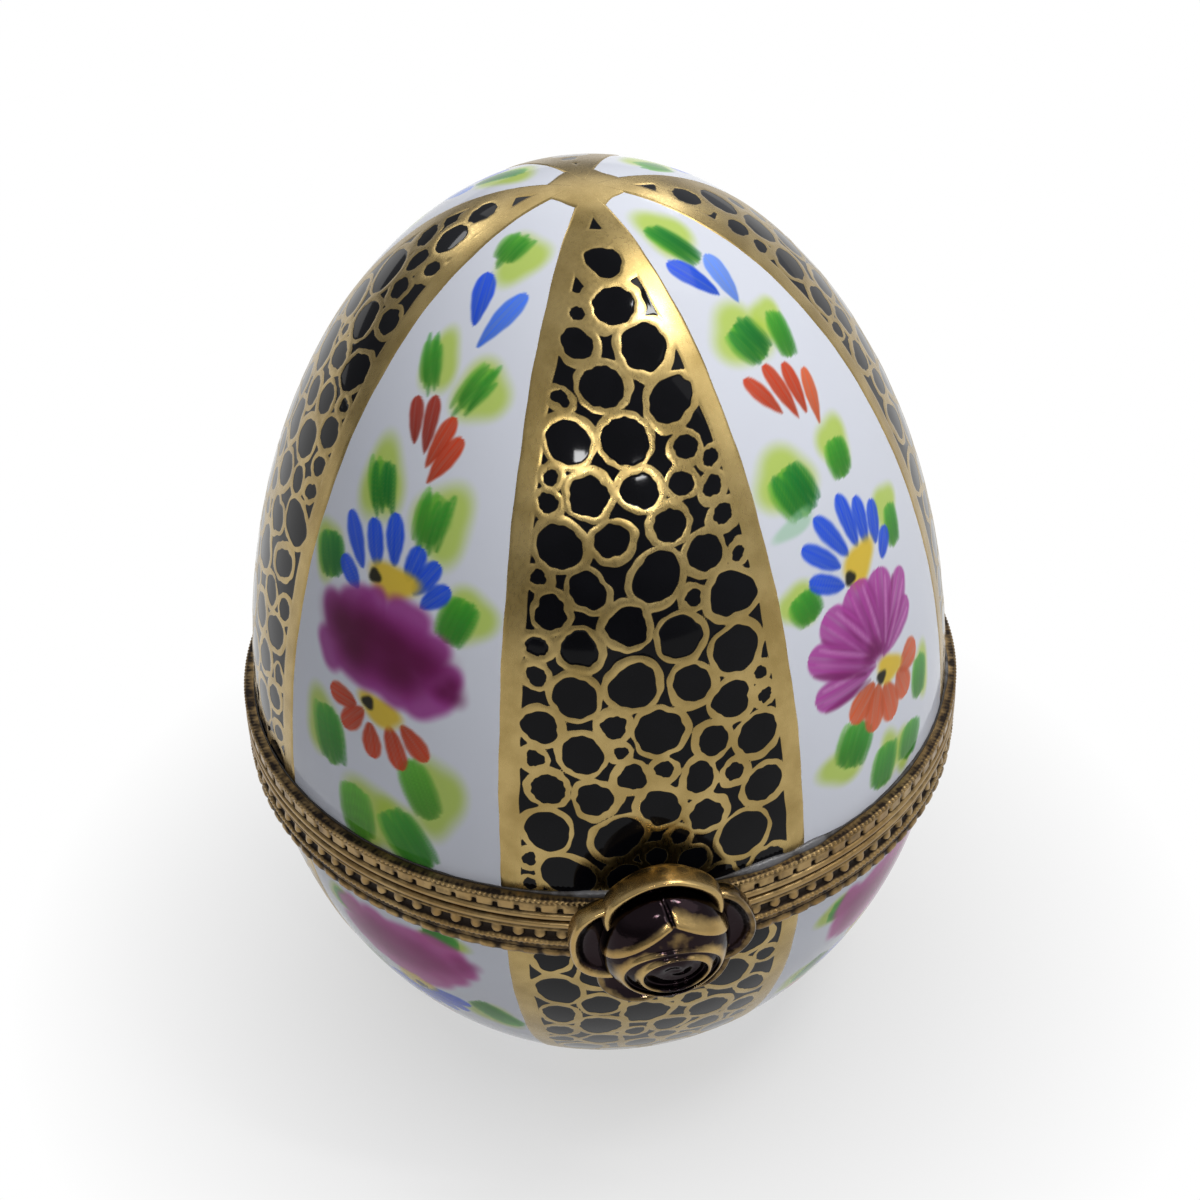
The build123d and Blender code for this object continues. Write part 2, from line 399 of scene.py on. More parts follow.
# %% [markdown]
# ## Gilt pebble bands
# Four black bands run from foot to crown, framed by gold borders. On the black enamel the gilder drew gold
# rings of every size, each touching its neighbours, so that the enamel shows as round pebbles inside the
# rings and as small dark corners between them. A texture of cells would give straight walls instead of
# rings. Here the pebbles are laid like stones in a wall, from the seam upwards, each as low as it fits, and
# a gold line of uneven width follows each one. Each mesh point stores its distance to the nearest gilt
# edge, negative on gold. The material cuts gold from enamel exactly at zero, and the gold also stands a few
# hundredths of a millimetre proud, as burnished raised gilding does.

# %% Pebble layout
BAND_HALF = np.radians(24.1)
BORDER = 1.30
PEBBLE_SIZES = [1.62, 1.50, 1.42, 1.34, 1.26, 1.18, 1.08, 0.92, 0.78]
SMALLEST_PEBBLE = 0.60
SIZE_RANGE = (0.94, 1.06)
RING_GAP = 0.10
BORDER_OVERLAP = 0.16
PLACES_TRIED = 12000
LAYING_UNEVENNESS = 0.12


def band_half_width(half, arc):
    """Half the width of a band, measured round the shell at that arc."""
    return BAND_HALF * girth(half, arc)


def pebble_layout(half, low, high, rng):
    """Rows of across, arc and radius, laid from low to high.

    A scattered place fits a radius if its clearance is no less, the clearance being the least of its
    distances to the borders and to the edges of the pebbles laid so far. The lowest such place is taken.
    """
    scatter = rng.random((PLACES_TRIED, 2))
    arc = low + (high - low) * scatter[:, 1]
    across = (2 * scatter[:, 0] - 1) * band_half_width(half, 0)
    clearance = band_half_width(half, arc) - BORDER - np.abs(across) + BORDER_OVERLAP
    order = arc + rng.normal(0, LAYING_UNEVENNESS, arc.shape)
    pebbles, radius = [], rng.choice(PEBBLE_SIZES)
    while clearance.max() >= SMALLEST_PEBBLE:
        fits = clearance >= radius
        if fits.any():
            spot = np.argmin(np.where(fits, order, np.inf))
            pebbles.append((across[spot], arc[spot], radius))
            away = np.hypot(across - across[spot], arc - arc[spot])
            clearance = np.minimum(clearance, away - radius - RING_GAP)
            radius = rng.choice(PEBBLE_SIZES) * rng.uniform(*SIZE_RANGE)
        else:
            radius = max(SMALLEST_PEBBLE, 0.9 * radius)
    return np.array(pebbles)


print("a band is %.1f mm wide at the seam" % (2 * band_half_width("lid", 0)))

# %% [markdown]
# ## Gold lines
# A drawn ring is never a circle. Each outline gets a few waves whose height falls with their number, and the
# line's own width changes as the brush runs out. Near the crown the bands are so narrow that the gilder let
# the lines run together.

# %% Distance to the gold
OUTLINE_WAVES = {2: 0.060, 3: 0.036, 5: 0.022, 8: 0.013, 13: 0.008}
LINE_HALF = (0.165, 0.235)
CROWN_FILL = (0.70, 0.88)
NEAR_RING = 1.4


def gilt_distance(half, across, arc, pebbles, rng):
    """Distance in millimetres to the nearest gold edge, below zero on gold.

    Gold is the border strip along both sides and, round each pebble, the points within half a line of its
    outline. The outline is a circle with a few small waves, the first of which makes it oval. Towards the
    crown the lines spread outwards until they fill the corners between the pebbles.
    """
    side = np.sign(across)
    ripple = 0.025 * np.sin(arc * 1.3 + 5 * side) + 0.015 * np.sin(arc * 3.1 + 2 * side)
    distance = band_half_width(half, arc) - np.abs(across) - BORDER - ripple
    enamel = np.full(arc.shape, -9.0)
    for middle, up, radius in pebbles:
        half_line = rng.uniform(*LINE_HALF)
        waves = rng.normal(0, 1, len(OUTLINE_WAVES)) * list(OUTLINE_WAVES.values())
        phase = rng.uniform(0, 2 * np.pi, len(OUTLINE_WAVES))
        near = np.maximum(np.abs(across - middle), np.abs(arc - up)) < radius + NEAR_RING
        du, dv = across[near] - middle, arc[near] - up
        turn = np.arctan2(dv, du)
        edge = radius * (1 + sum(w * np.cos(k * turn + p) for k, w, p in zip(OUTLINE_WAVES, waves, phase)))
        line = half_line * (1 + 0.24 * np.cos(turn - phase[0]) + 0.15 * np.cos(3 * turn + phase[1])
                            + 0.08 * np.cos(7 * turn + phase[2]) + 0.07 * np.cos(11 * turn + phase[3]))
        beyond = np.hypot(du, dv) - edge
        filled = line * (1 + 3 * step(*CROWN_FILL, up / lid_arc))
        distance[near] = np.minimum(distance[near], np.maximum(-line - beyond, beyond - filled))
        enamel[near] = np.maximum(enamel[near], -line - beyond)
    return np.maximum(distance, enamel)


print("gold lines are %.2f to %.2f mm wide" % (2 * LINE_HALF[0], 2 * LINE_HALF[1]))

# %% [markdown]
# ## Gold and black enamel
# The gold is bright but brushed: it was painted on as a paste, fired and rubbed with agate, so it keeps fine
# strokes and a satin shine. The enamel between is glassy black. One material holds both: the stored
# distance picks metal or glass, and the change is only a hair wide.

# %% Gilt enamel material
def gilt_enamel():
    """Brushed gold where the gilt attribute is below zero, black glass elsewhere."""
    material, tree, shader = finish("gilt_enamel", IOR=1.20)
    gold = spread(tree, attribute(tree, "gilt").outputs["Fac"], 0.02, -0.02)
    patch = noise(tree, 420, 4.0)
    brushed = noise(tree, 5200, 2.0, (1, 1, 0.25))
    tone = blend_colour(tree, spread(tree, patch, 0.35, 0.65), rgba(147, 125, 76), rgba(172, 149, 97))
    enamel = blend_colour(tree, spread(tree, patch, 0.4, 0.7), rgba(7, 7, 10), rgba(12, 12, 16))
    tree.links.new(blend_colour(tree, gold, enamel, tone), shader.inputs["Base Color"])
    tree.links.new(gold, shader.inputs["Metallic"])
    satin = spread(tree, brushed, 0.3, 0.7, 0.25, 0.32)
    tree.links.new(blend(tree, gold, 0.05, satin), shader.inputs["Roughness"])
    bump(tree, shader, combine(tree, "MULTIPLY", brushed, gold), 0.000012, 0.05)
    return material


gilding = gilt_enamel()
print("gold and enamel:", gilding.name)

# %% [markdown]
# ## Laying the bands on the shells
# A band is a strip of the shell: its columns fan out from the crown and its rows follow the arc. Its long
# edges sink to the porcelain so that no rim shows, and a slow waver in its width keeps the hand in it.

# %% Band pieces
ENAMEL_LIFT = 0.035
GILT_LIFT = 0.022
GILT_SHOULDER = (0.05, -0.18)
LID_ART = (1.1, lid_arc - 0.7)
BASE_ART = (2.3, foot_arc - 0.9)
BANDS = {"front": 0, "right": 90, "back": 180, "left": 270}


def strip_grid(half, span, half_angle, spacing):
    """Rows of arc and columns of azimuth offset, about spacing apart where the shell is widest."""
    rows = int((span[1] - span[0]) / spacing)
    columns = int(2 * half_angle * shell_radius / spacing)
    arc = np.linspace(*span, rows)[:, None]
    share = np.linspace(-1, 1, columns)[None, :]
    if half == "base":
        arc = arc[::-1]
    return np.broadcast_arrays(arc, share)


def gilt_band(half, side, span, spacing, seed):
    """One band: enamel and gold lifted off the shell by the stored distance."""
    rng = np.random.default_rng(seed)
    arc, share = strip_grid(half, span, BAND_HALF, spacing)
    pebbles = pebble_layout(half, span[0] - 1.0, span[1], rng)
    across = share * band_half_width(half, arc)
    gilt = gilt_distance(half, across, arc, pebbles, rng)
    inset = band_half_width(half, arc) - np.abs(across)
    lift = (ENAMEL_LIFT + GILT_LIFT * step(*GILT_SHOULDER, gilt)) * step(0.0, 0.2, inset)
    waver = 0.025 * np.sin(arc * 0.8 + seed + share) + 0.012 * np.sin(arc * 2.3 + 2 * share)
    azimuth = np.radians(BANDS[side]) + (across + waver * share ** 2) / girth(half, arc)
    piece = surface("%s_band_%s" % (half, side), on_shell(half, azimuth, arc, lift), values={"gilt": gilt})
    return fit(piece, half, "porcelain", gilding)


for number, side in enumerate(BANDS):
    fine = 0.12 if side == "front" else 0.15
    gilt_band("lid", side, LID_ART, spacing=fine, seed=11 + number)
    gilt_band("base", side, BASE_ART, spacing=fine + 0.02, seed=31 + number)

# %% [markdown]
# ## The gold crown
# At the top the four borders run together into a small gold star that hides the tips of the white panels.
# It is a cap of the shell whose edge reaches a little further along the bands than across the panels.

# %% Crown star
CROWN_REACH = 2.35
ring = np.linspace(0, 1, 26)[:, None]
azimuth = full_turn(144)[None, :]
reach = CROWN_REACH * (1 + 0.10 * np.cos(4 * azimuth) + 0.02 * np.sin(7 * azimuth))
arc = lid_arc - reach * (1 - ring)
lift = (ENAMEL_LIFT + GILT_LIFT * 0.8) * step(0, 0.12, ring)
crown = surface("lid_gilt_crown", on_shell("lid", azimuth, arc, lift), wrap_columns=True,
                values={"gilt": np.full(arc.shape, -1.0)})
fit(crown, "lid", "porcelain", gilding)

# %% [markdown]
# ## Painting with a numpy brush
# Between the bands lie white panels with sprays of flowers. A decorator paints each petal with one press
# of a loaded brush: a drop-shaped mark, dense where the brush lifts, with hair lines along it and an edge
# that the glaze softens. A stroke here is a formula over the whole panel: in its own frame, along and
# across, the mark's half width is root(1 - along^2), fuller towards its tip. How far a point lies inside
# that outline gives the cover, and the colour is laid over what is already there.

# %% Brush strokes
class Panel:
    """Canvas on a shell: across and up are millimetres from the panel's middle line and from the seam."""

    def __init__(self, across, up, rng):
        self.across, self.up, self.rng = across, up, rng
        self.colour = np.broadcast_to(PORCELAIN_WHITE / 255.0, across.shape + (3,)).copy()

    def own_frame(self, place, turn, length, width):
        """All points of the panel along and across a mark, in shares of its half length and half width."""
        turn = np.radians(turn)
        du, dv = self.across - place[0], self.up - place[1]
        return ((du * np.cos(turn) + dv * np.sin(turn)) * 2 / length,
                (dv * np.cos(turn) - du * np.sin(turn)) * 2 / width)

    def stroke(self, place, length, width, turn, colour, tip=0.25, bend=0.0, soft=0.11, hairs=0.25, body=1.0,
               shade=0.12, point=0.0):
        """One press of the brush, centred at place, its head along turn (degrees, 90 is up)."""
        along, across = self.own_frame(place, turn, length, width)
        across = across - bend * (1 - along ** 2)
        outline = np.sqrt(np.clip(1 - along ** 2, 0, None)) * (1 + tip * along)
        outline = outline * np.clip((1 + along) / 2, 0, None) ** point
        ragged = 0.025 * np.sin(5 * along + self.rng.uniform(0, 6)) + 0.012 * np.sin(13 * along + place[0])
        inside = (outline + ragged - np.abs(across)) * width / 2 - 2 * soft * (np.abs(along) > 1)
        cover = step(-soft, soft, inside) * body
        phase = self.rng.uniform(0, 6, 3)
        hair = (np.sin(8 * across + phase[0] + 1.5 * along) + np.sin(15 * across + phase[1] - along)
                + np.sin(27 * across + phase[2])) / 3
        cover = np.clip(cover * (1 - hairs * (0.5 + 0.5 * hair)), 0, 1)
        load = 1 + shade * (0.6 * along - 0.5 * hair)
        tone = np.clip(np.asarray(colour) / 255.0 * load[..., None], 0, 1)
        self.colour += cover[..., None] * (tone - self.colour)

    def wash(self, place, wide, tall, colour, body=0.8, turn=0.0, full=0.62):
        """A soft round of thin paint that fades out all round, from the share of its size called full."""
        x, y = self.own_frame(place, turn, wide, tall)
        uneven = 0.10 * np.sin(3 * np.arctan2(y, x) + self.rng.uniform(0, 6))
        cover = body * step(1.12, full, np.hypot(x, y) + uneven)
        self.colour += cover[..., None] * (np.asarray(colour) / 255.0 - self.colour)


# %% [markdown]
# ## Leaves, daisies and peonies
# Every motif is a few strokes. A leaf is a yellow-green wash with darker bristle marks set off-centre, which
# a dry brush leaves ragged at the ends. A daisy is a half ring of strokes round a yellow eye with one dark
# dot. The peony comes in two hands: as a fan of petals that part in light and dark lines, and as one soft
# mass with a scalloped edge and a dark middle.

# %% Motifs
MID_GREEN, LEAF_GREEN, LEAF_DEEP = (86, 160, 48), (46, 132, 40), (22, 108, 44)
YELLOW_GREEN, SAGE = (178, 206, 72), (150, 200, 160)
BLUE, SOFT_BLUE, PALE_BLUE = (30, 74, 212), (62, 110, 226), (98, 138, 232)
CRIMSON, RED, ORANGE = (150, 44, 30), (190, 58, 28), (206, 88, 48)
YELLOW, SOOT = (224, 190, 58), (24, 24, 16)
PURPLE, DEEP_PURPLE, PALE_PURPLE = (156, 60, 140), (88, 0, 56), (206, 140, 196)
ROSE, DEEP_ROSE = (190, 82, 156), (146, 40, 112)
# Place across a leaf as a share of its width, and whether the mark takes the leaf's dark tone.
BRISTLES = [(-0.38, True), (0.36, False), (0.08, False), (-0.22, True), (0.22, True), (-0.06, True)]
# Place across a peony's petal as a share of its width, then width, colour and strength of the line there.
PETAL_LINES = [(0.34, 0.50, DEEP_PURPLE, 0.42), (-0.20, 0.30, PALE_PURPLE, 0.65),
               (0.10, 0.22, PALE_PURPLE, 0.40)]


def axes(turn):
    """Unit vectors along and across a stroke that points along turn."""
    way = np.radians(turn)
    return np.array([np.cos(way), np.sin(way)]), np.array([-np.sin(way), np.cos(way)])


def leaf(panel, place, length, width, turn, halo, halo_wide, halo_tall, tone, loose=0.3):
    """A yellow-green wash, a thin green stroke on it, and bristle marks; loose makes their ends uneven."""
    place, (along, aside) = np.array(place), axes(turn)
    wash_middle = 0.35 * place + 0.65 * np.array(halo)
    panel.wash(wash_middle, 1.08 * halo_wide, 1.05 * halo_tall, YELLOW_GREEN, 0.78, full=0.55)
    panel.stroke(place, (1 - 0.22 * loose) * length, 0.95 * width, turn, MID_GREEN, tip=0.1, soft=0.34,
                 hairs=0.40, body=1 - 0.25 * loose)
    dark = (MID_GREEN, LEAF_GREEN, LEAF_DEEP)[tone]
    for share, shaded in BRISTLES:
        slip, cut, lean = panel.rng.uniform(-1, 1, 3) * loose
        mark = place + aside * share * width + along * 0.10 * slip * length
        reach = length * (1 - 0.9 * share ** 2) * (0.94 + 0.18 * cut)
        colour = dark if shaded else MID_GREEN
        panel.stroke(mark, reach, (0.40 - 0.10 * loose) * width, turn + 6 * lean, colour, tip=0.1,
                     bend=0.3 * loose, soft=0.20 - 0.06 * loose, hairs=0.5, body=0.75, shade=0.25)


def daisy(panel, petals, width, colour, eye, dot):
    """Strokes as (across, up, turn, length), then the yellow eye and its dark dot."""
    for x, y, turn, length in petals:
        panel.stroke((x, y), 1.14 * length, width, turn, colour, tip=0.12, soft=0.14, hairs=0.26, point=0.12)
    panel.wash(eye[0], eye[1], eye[2], YELLOW, 0.95, eye[3])
    panel.wash(dot, 1.05, 0.95, SOOT, 0.92)


def fanned_peony(panel, focus, petals):
    """Petals as strokes from one focus, each with a dark line on one side and a light one on the other."""
    panel.wash((focus[0] - 0.8, focus[1] + 2.4), 7.0, 5.0, PURPLE, 0.85, 15)
    for turn, length, width in petals:
        along, aside = axes(turn)
        place = focus + along * length * 0.55
        panel.stroke(place, length * 0.95, width, turn, PURPLE, tip=0.35, soft=0.18, hairs=0.30, shade=0.2,
                     point=0.3)
        for offset, wide, colour, body in PETAL_LINES:
            panel.stroke(place + aside * width * offset, length * 0.74, wide, turn + 12 * offset, colour,
                         tip=0, soft=0.14, hairs=0.2, body=body)
    panel.wash(focus + np.array([-0.4, 1.0]), 2.6, 2.0, DEEP_PURPLE, 0.45, full=0.2)


def massed_peony(panel, middle, colour, deep):
    """Soft rounds of paint that overlap into one scalloped mass, with darker rounds melting into it."""
    for (x, y), wide, tall in PEONY_LOBES:
        panel.wash((middle[0] + x, middle[1] + y), wide, tall, colour, 0.9)
    for (x, y), wide, tall, body in PEONY_CORES:
        panel.wash((middle[0] + x, middle[1] + y), wide, tall, deep, body, -8, full=0.2)


# %% [markdown]
# ## Where the flowers lie
# The two panels beside the clasp carry the same spray, painted twice by hand, so nothing quite repeats.
# Places are given in millimetres: across from the panel's middle line, then up from the seam. The panels at
# the back are out of sight in the picture and repeat these two.

# %% Sprays on the lid
# Place, length, width and turn of a leaf, place, width and height of its wash, and how dark it is, 0 to 2.
LEAVES = {
    "right": [
        ((-0.4, 39.4), 3.7, 1.4, 101, (0.0, 40.6), 3.0, 4.2, 2),
        ((-1.0, 32.5), 2.7, 2.5, 103, (-1.3, 33.3), 4.2, 4.0, 2),
        ((1.4, 31.7), 3.0, 1.6, 74, (1.2, 33.4), 2.6, 2.8, 1),
        ((-3.4, 23.9), 3.3, 2.9, 103, (-3.8, 25.3), 4.5, 4.0, 2),
        ((0.7, 24.0), 2.5, 2.0, 81, (1.0, 25.4), 3.0, 3.4, 1),
        ((-5.4, 17.4), 2.1, 2.2, 106, (-6.0, 18.0), 3.0, 2.8, 1),
        ((3.5, 18.0), 2.7, 1.6, 76, (3.3, 20.0), 3.1, 2.8, 1),
        ((-3.8, 7.1), 3.2, 2.9, 62, (-5.3, 5.8), 4.1, 3.0, 1),
        ((-1.2, 3.9), 3.4, 2.4, 72, (-0.2, 4.4), 2.7, 4.0, 1),
        ((1.8, 3.8), 2.8, 2.5, 66, (0.9, 3.6), 2.4, 3.5, 1),
        ((3.5, 7.4), 3.0, 2.0, 76, (4.2, 7.6), 2.3, 4.0, 1)],
    "left": [
        ((-0.6, 39.8), 2.5, 1.8, 80, (0.7, 39.2), 3.0, 3.8, 1),
        ((-1.8, 32.0), 3.3, 1.5, 110, (-0.9, 32.4), 2.5, 4.0, 1),
        ((1.6, 31.6), 3.4, 1.6, 68, (2.1, 31.4), 3.5, 3.9, 1),
        ((-2.4, 24.7), 3.3, 2.1, 108, (-2.5, 24.9), 3.4, 5.2, 2),
        ((1.5, 24.0), 3.7, 2.2, 86, (2.5, 23.9), 3.9, 5.0, 1),
        ((-5.3, 19.2), 2.8, 2.4, 112, (-5.9, 19.4), 2.7, 3.8, 2),
        ((4.2, 18.7), 3.1, 2.1, 73, (5.2, 19.3), 3.5, 3.6, 1),
        ((-4.0, 8.0), 4.3, 2.6, 101, (-5.0, 8.8), 3.5, 4.8, 1),
        ((3.0, 7.3), 4.3, 2.2, 114, (4.6, 7.0), 3.8, 6.0, 0),
        ((-1.7, 3.5), 4.4, 2.6, 97, (0.0, 4.2), 4.6, 5.4, 0),
        ((2.1, 3.2), 4.8, 3.0, 124, (1.0, 4.4), 3.4, 4.4, 1)]}
# Place, length, width, turn and colour of a bud.
BUDS = {
    "right": [((-1.2, 37.1), 3.3, 1.3, 109, BLUE), ((0.4, 36.2), 3.3, 1.3, 79, PALE_BLUE),
              ((-2.3, 29.5), 3.0, 1.0, 112, RED), ((-1.0, 29.2), 3.7, 1.0, 95, RED),
              ((0.05, 28.9), 3.2, 1.0, 84, RED), ((0.95, 27.9), 3.3, 1.0, 72, ORANGE)],
    "left": [((-0.6, 36.4), 3.3, 1.3, 105, BLUE), ((1.2, 35.6), 3.9, 1.2, 72, SOFT_BLUE),
             ((-1.4, 28.8), 2.7, 0.95, 108, CRIMSON), ((-0.4, 28.9), 3.3, 0.95, 98, CRIMSON),
             ((0.6, 28.2), 3.3, 1.0, 75, RED), ((1.2, 27.3), 3.3, 1.1, 66, RED)]}
# Petals as across, up, turn and length; then their width, the eye and the dot.
BLUE_DAISY = {
    "right": ([(-3.5, 18.0, 150, 2.5), (-3.3, 19.6, 135, 2.9), (-2.1, 20.4, 116, 3.2), (-0.5, 20.6, 94, 3.1),
               (0.6, 20.0, 84, 2.7), (1.7, 19.3, 72, 2.3), (2.1, 17.7, 50, 1.7)],
              1.32, BLUE, ((-0.6, 17.9), 3.6, 2.5, 25), (-1.7, 17.5)),
    "left": ([(-3.4, 19.0, 143, 1.9), (-3.4, 21.0, 124, 2.9), (-1.9, 21.4, 110, 2.5), (-0.6, 22.1, 102, 2.7),
              (1.0, 21.2, 76, 2.0), (1.9, 20.6, 60, 2.3), (2.7, 19.7, 45, 2.0)],
             1.35, BLUE, ((-0.2, 19.7), 4.0, 2.4, 5), (-1.5, 19.6))}
ORANGE_DAISY = {
    "right": ([(-2.7, 9.5, 213, 2.5), (-1.7, 8.5, 250, 2.7), (-0.3, 8.2, 278, 2.6), (1.3, 8.5, 288, 2.1),
               (2.3, 9.7, 15, 2.1)], 2.0, ORANGE, ((0.1, 10.3), 3.0, 2.0, -20), (-0.8, 10.2)),
    "left": ([(-2.9, 11.3, 180, 2.0), (-2.0, 10.3, 229, 2.2), (-0.5, 9.4, 279, 2.1), (1.2, 9.6, 292, 2.6),
              (2.5, 10.4, 316, 2.3)], 1.5, RED, ((0.0, 11.6), 3.6, 2.0, -12), (-0.9, 11.8))}
# Turn, length and width of the fan's petals; place and size of the mass's rounds, and how dense its core is.
PEONY_FAN = [(178, 5.5, 2.2), (27, 4.4, 1.9), (46, 5.6, 2.2), (74, 5.6, 3.0), (100, 5.8, 3.3),
             (126, 6.2, 3.0), (150, 6.2, 2.5)]
PEONY_LOBES = [((-0.4, 0.1), 7.4, 5.2), ((-4.0, 0.4), 3.0, 3.2), ((-4.1, -1.8), 3.0, 3.0),
               ((-2.4, 1.6), 3.2, 3.2), ((-1.2, 2.1), 2.6, 2.8), ((1.1, 2.0), 3.6, 3.4),
               ((2.7, 0.6), 3.4, 3.4), ((3.9, -0.9), 3.0, 3.0), ((2.9, -2.2), 3.8, 3.0),
               ((0.6, -2.0), 4.0, 3.2), ((-1.9, -1.8), 4.2, 3.2)]
PEONY_CORES = [((-2.5, -0.1), 6.2, 5.6, 0.90), ((1.4, -0.2), 7.0, 5.2, 0.78), ((-0.4, -0.6), 7.2, 4.4, 0.50),
               ((4.5, -1.3), 2.6, 2.4, 0.65)]
DRY_BRUSH_ABOVE = 22.0


def lid_spray(panel, kind):
    """Leaves first, the upper left ones with a dry brush, then buds and daisies, then the peony."""
    for row in LEAVES[kind]:
        dry_brush = kind == "left" and row[0][1] > DRY_BRUSH_ABOVE
        leaf(panel, *row, loose=1.0 if dry_brush else 0.3)
    for place, length, width, turn, colour in BUDS[kind]:
        panel.stroke(place, length, 1.22 * width, turn, colour, tip=0.1, hairs=0.24, shade=0.16, point=0.3)
    daisy(panel, *BLUE_DAISY[kind])
    daisy(panel, *ORANGE_DAISY[kind])
    if kind == "right":
        panel.wash((-4.3, 22.2), 3.6, 1.3, SAGE, 0.55, 12)
        fanned_peony(panel, np.array([-0.7, 11.2]), PEONY_FAN)
    else:
        massed_peony(panel, (0.0, 15.7), PURPLE, DEEP_PURPLE)


print("leaves and buds on the lid:", {kind: (len(LEAVES[kind]), len(BUDS[kind])) for kind in LEAVES})

# %% [markdown]
# ## Sprays on the base
# The base shows only a strip under the collar: a peony, a blue daisy that hangs from it and leaves. Up is
# away from the seam here, so the motifs are the same but hang downwards.

# %% Sprays on the base
BASE_LEAVES = [((-4.3, 6.2), 3.0, 2.0, 185, (-5.0, 6.2), 3.2, 2.6, 1),
               ((5.4, 12.9), 4.0, 2.1, 55, (4.9, 13.4), 3.6, 4.0, 1),
               ((-4.4, 13.4), 3.2, 2.2, 118, (-5.0, 14.0), 3.6, 3.4, 2),
               ((0.6, 19.6), 3.0, 2.0, 85, (1.4, 20.0), 3.2, 3.4, 1),
               ((-1.6, 20.6), 2.8, 1.8, 110, (-2.2, 21.0), 2.8, 3.2, 2),
               ((3.6, 4.5), 2.8, 1.5, 8, (3.8, 4.6), 3.6, 2.0, 1)]


def half_ring(middle, radius, turns, length):
    """Rows of across, up, turn and length for petals set round a middle."""
    way = np.radians(turns)
    return np.stack([middle[0] + radius * np.cos(way), middle[1] + radius * np.sin(way), turns,
                     np.full(len(turns), length)], -1)


def base_spray(panel, kind):
    """Leaves, a blue and an orange daisy, and the peony close under the collar."""
    sway = 0.5 if kind == "right" else 0.0
    for place, *rest in BASE_LEAVES:
        leaf(panel, (place[0] + sway, place[1]), *rest)
    eye = (-0.2 + sway, 11.9)
    petals = half_ring(eye, 2.5, np.array([12, 36, 62, 90, 118, 146]), 2.6)
    daisy(panel, petals, 1.45, BLUE, (eye, 3.2, 2.6, 0), (eye[0] + 0.2, eye[1] + 0.6))
    eye = (-2.4 + sway, 16.8)
    petals = half_ring(eye, 2.0, np.array([10, 60, 110, 160, 210]), 2.2)
    daisy(panel, petals, 1.3, ORANGE, (eye, 2.3, 2.0, 0), eye)
    massed_peony(panel, (0.3 + sway, 8.0), ROSE, DEEP_ROSE)


print("leaves on each base panel:", len(BASE_LEAVES))

# %% [markdown]
# ## Painting the panels
# A panel is a fine strip of shell, a little wider than the gap between two bands so that their gold borders
# cover its edges. The spray is painted on its grid of points, one colour to a point, and stored in the mesh
# for the glaze to read. The points lie about a tenth of a millimetre apart, finer than a bristle's mark.

# %% Painted panels
PANEL_HALF = np.pi / 4 - BAND_HALF + np.radians(1.2)
PANEL_LIFT = 0.018
PANELS = {"front_right": (45, "right"), "front_left": (-45, "left"), "back_right": (135, "left"),
          "back_left": (-135, "right")}


def painted_panel(half, side, span, spray, spacing, seed):
    """A strip of shell between two bands, with the spray painted on it."""
    centre, kind = PANELS[side]
    arc, share = strip_grid(half, span, PANEL_HALF, spacing)
    offset = share * PANEL_HALF
    panel = Panel(offset * girth(half, arc), arc, np.random.default_rng(seed))
    spray(panel, kind)
    points = on_shell(half, np.radians(centre) + offset, arc, PANEL_LIFT)
    piece = surface("%s_panel_%s" % (half, side), points, paint=linear(panel.colour * 255))
    return fit(piece, half, "porcelain", painted_porcelain)


for number, side in enumerate(PANELS):
    fine = 0.11 if side.startswith("front") else 0.15
    painted_panel("lid", side, LID_ART, lid_spray, spacing=fine, seed=51 + number)
    painted_panel("base", side, BASE_ART, base_spray, spacing=fine + 0.03, seed=61 + number)

# %% [markdown]
# ## Old brass
# The mounts are stamped and cast brass, toned dark with age and rubbed bright on every crest by handling.
# Each brass mesh stores how high a point stands in the relief, from 0 in the hollows to 1 on the crests.
# The material turns that into patina: brown below, yellow above, with a mottled edge between the two so that
# the wear doesn't look stencilled. The collars' hollows are dull. The rose keeps old lacquer in its hollows,
# so they are dark but glossy. On the rose's bud the stored value also carries painted shade, a painted
# reflection and painted highlights.

# %% Brass materials
def aged_brass(name, relief, dark, bright, crest_rough=0.30, hollow_rough=0.55, mottled=0.20, lacquer=0.0):
    """Brass from dark patina to rubbed metal; relief is an attribute's name, or None for an even wear."""
    material, tree, shader = finish(name, Metallic=1.0, Coat_Weight=lacquer, Coat_Roughness=0.10)
    mottle = noise(tree, 1500, 5.0)
    if relief:
        height = attribute(tree, relief).outputs["Fac"]
        lifted = combine(tree, "ADD", height, spread(tree, mottle, 0.3, 0.7, -mottled, mottled))
        rubbed = spread(tree, lifted, 0.30, 0.85)
    else:
        rubbed = spread(tree, mottle, 0.35, 0.7, 0.35, 0.9)
    tint = blend_colour(tree, spread(tree, noise(tree, 300), 0.35, 0.65), bright,
                        tuple(np.array(bright) * (0.72, 0.66, 0.58, 1)))
    tree.links.new(blend_colour(tree, rubbed, dark, tint), shader.inputs["Base Color"])
    tree.links.new(spread(tree, rubbed, 0, 1, hollow_rough, crest_rough), shader.inputs["Roughness"])
    bump(tree, shader, noise(tree, 4200, 2.0), 0.00003, 0.4)
    return material


collar_brass = aged_brass("collar_brass", "relief", rgba(38, 31, 26), rgba(156, 131, 88))
# The bud's relief attribute also carries painted shade, reflection and highlight, which this material shows
# as patina and rubbed brass.
rose_brass = aged_brass("rose_brass", "relief", rgba(30, 20, 23), rgba(176, 149, 96), 0.27, 0.11, 0.12, 0.1)
plain_brass = aged_brass("plain_brass", None, rgba(70, 54, 36), rgba(160, 130, 82))
print("brass:", collar_brass.name, rose_brass.name, plain_brass.name)

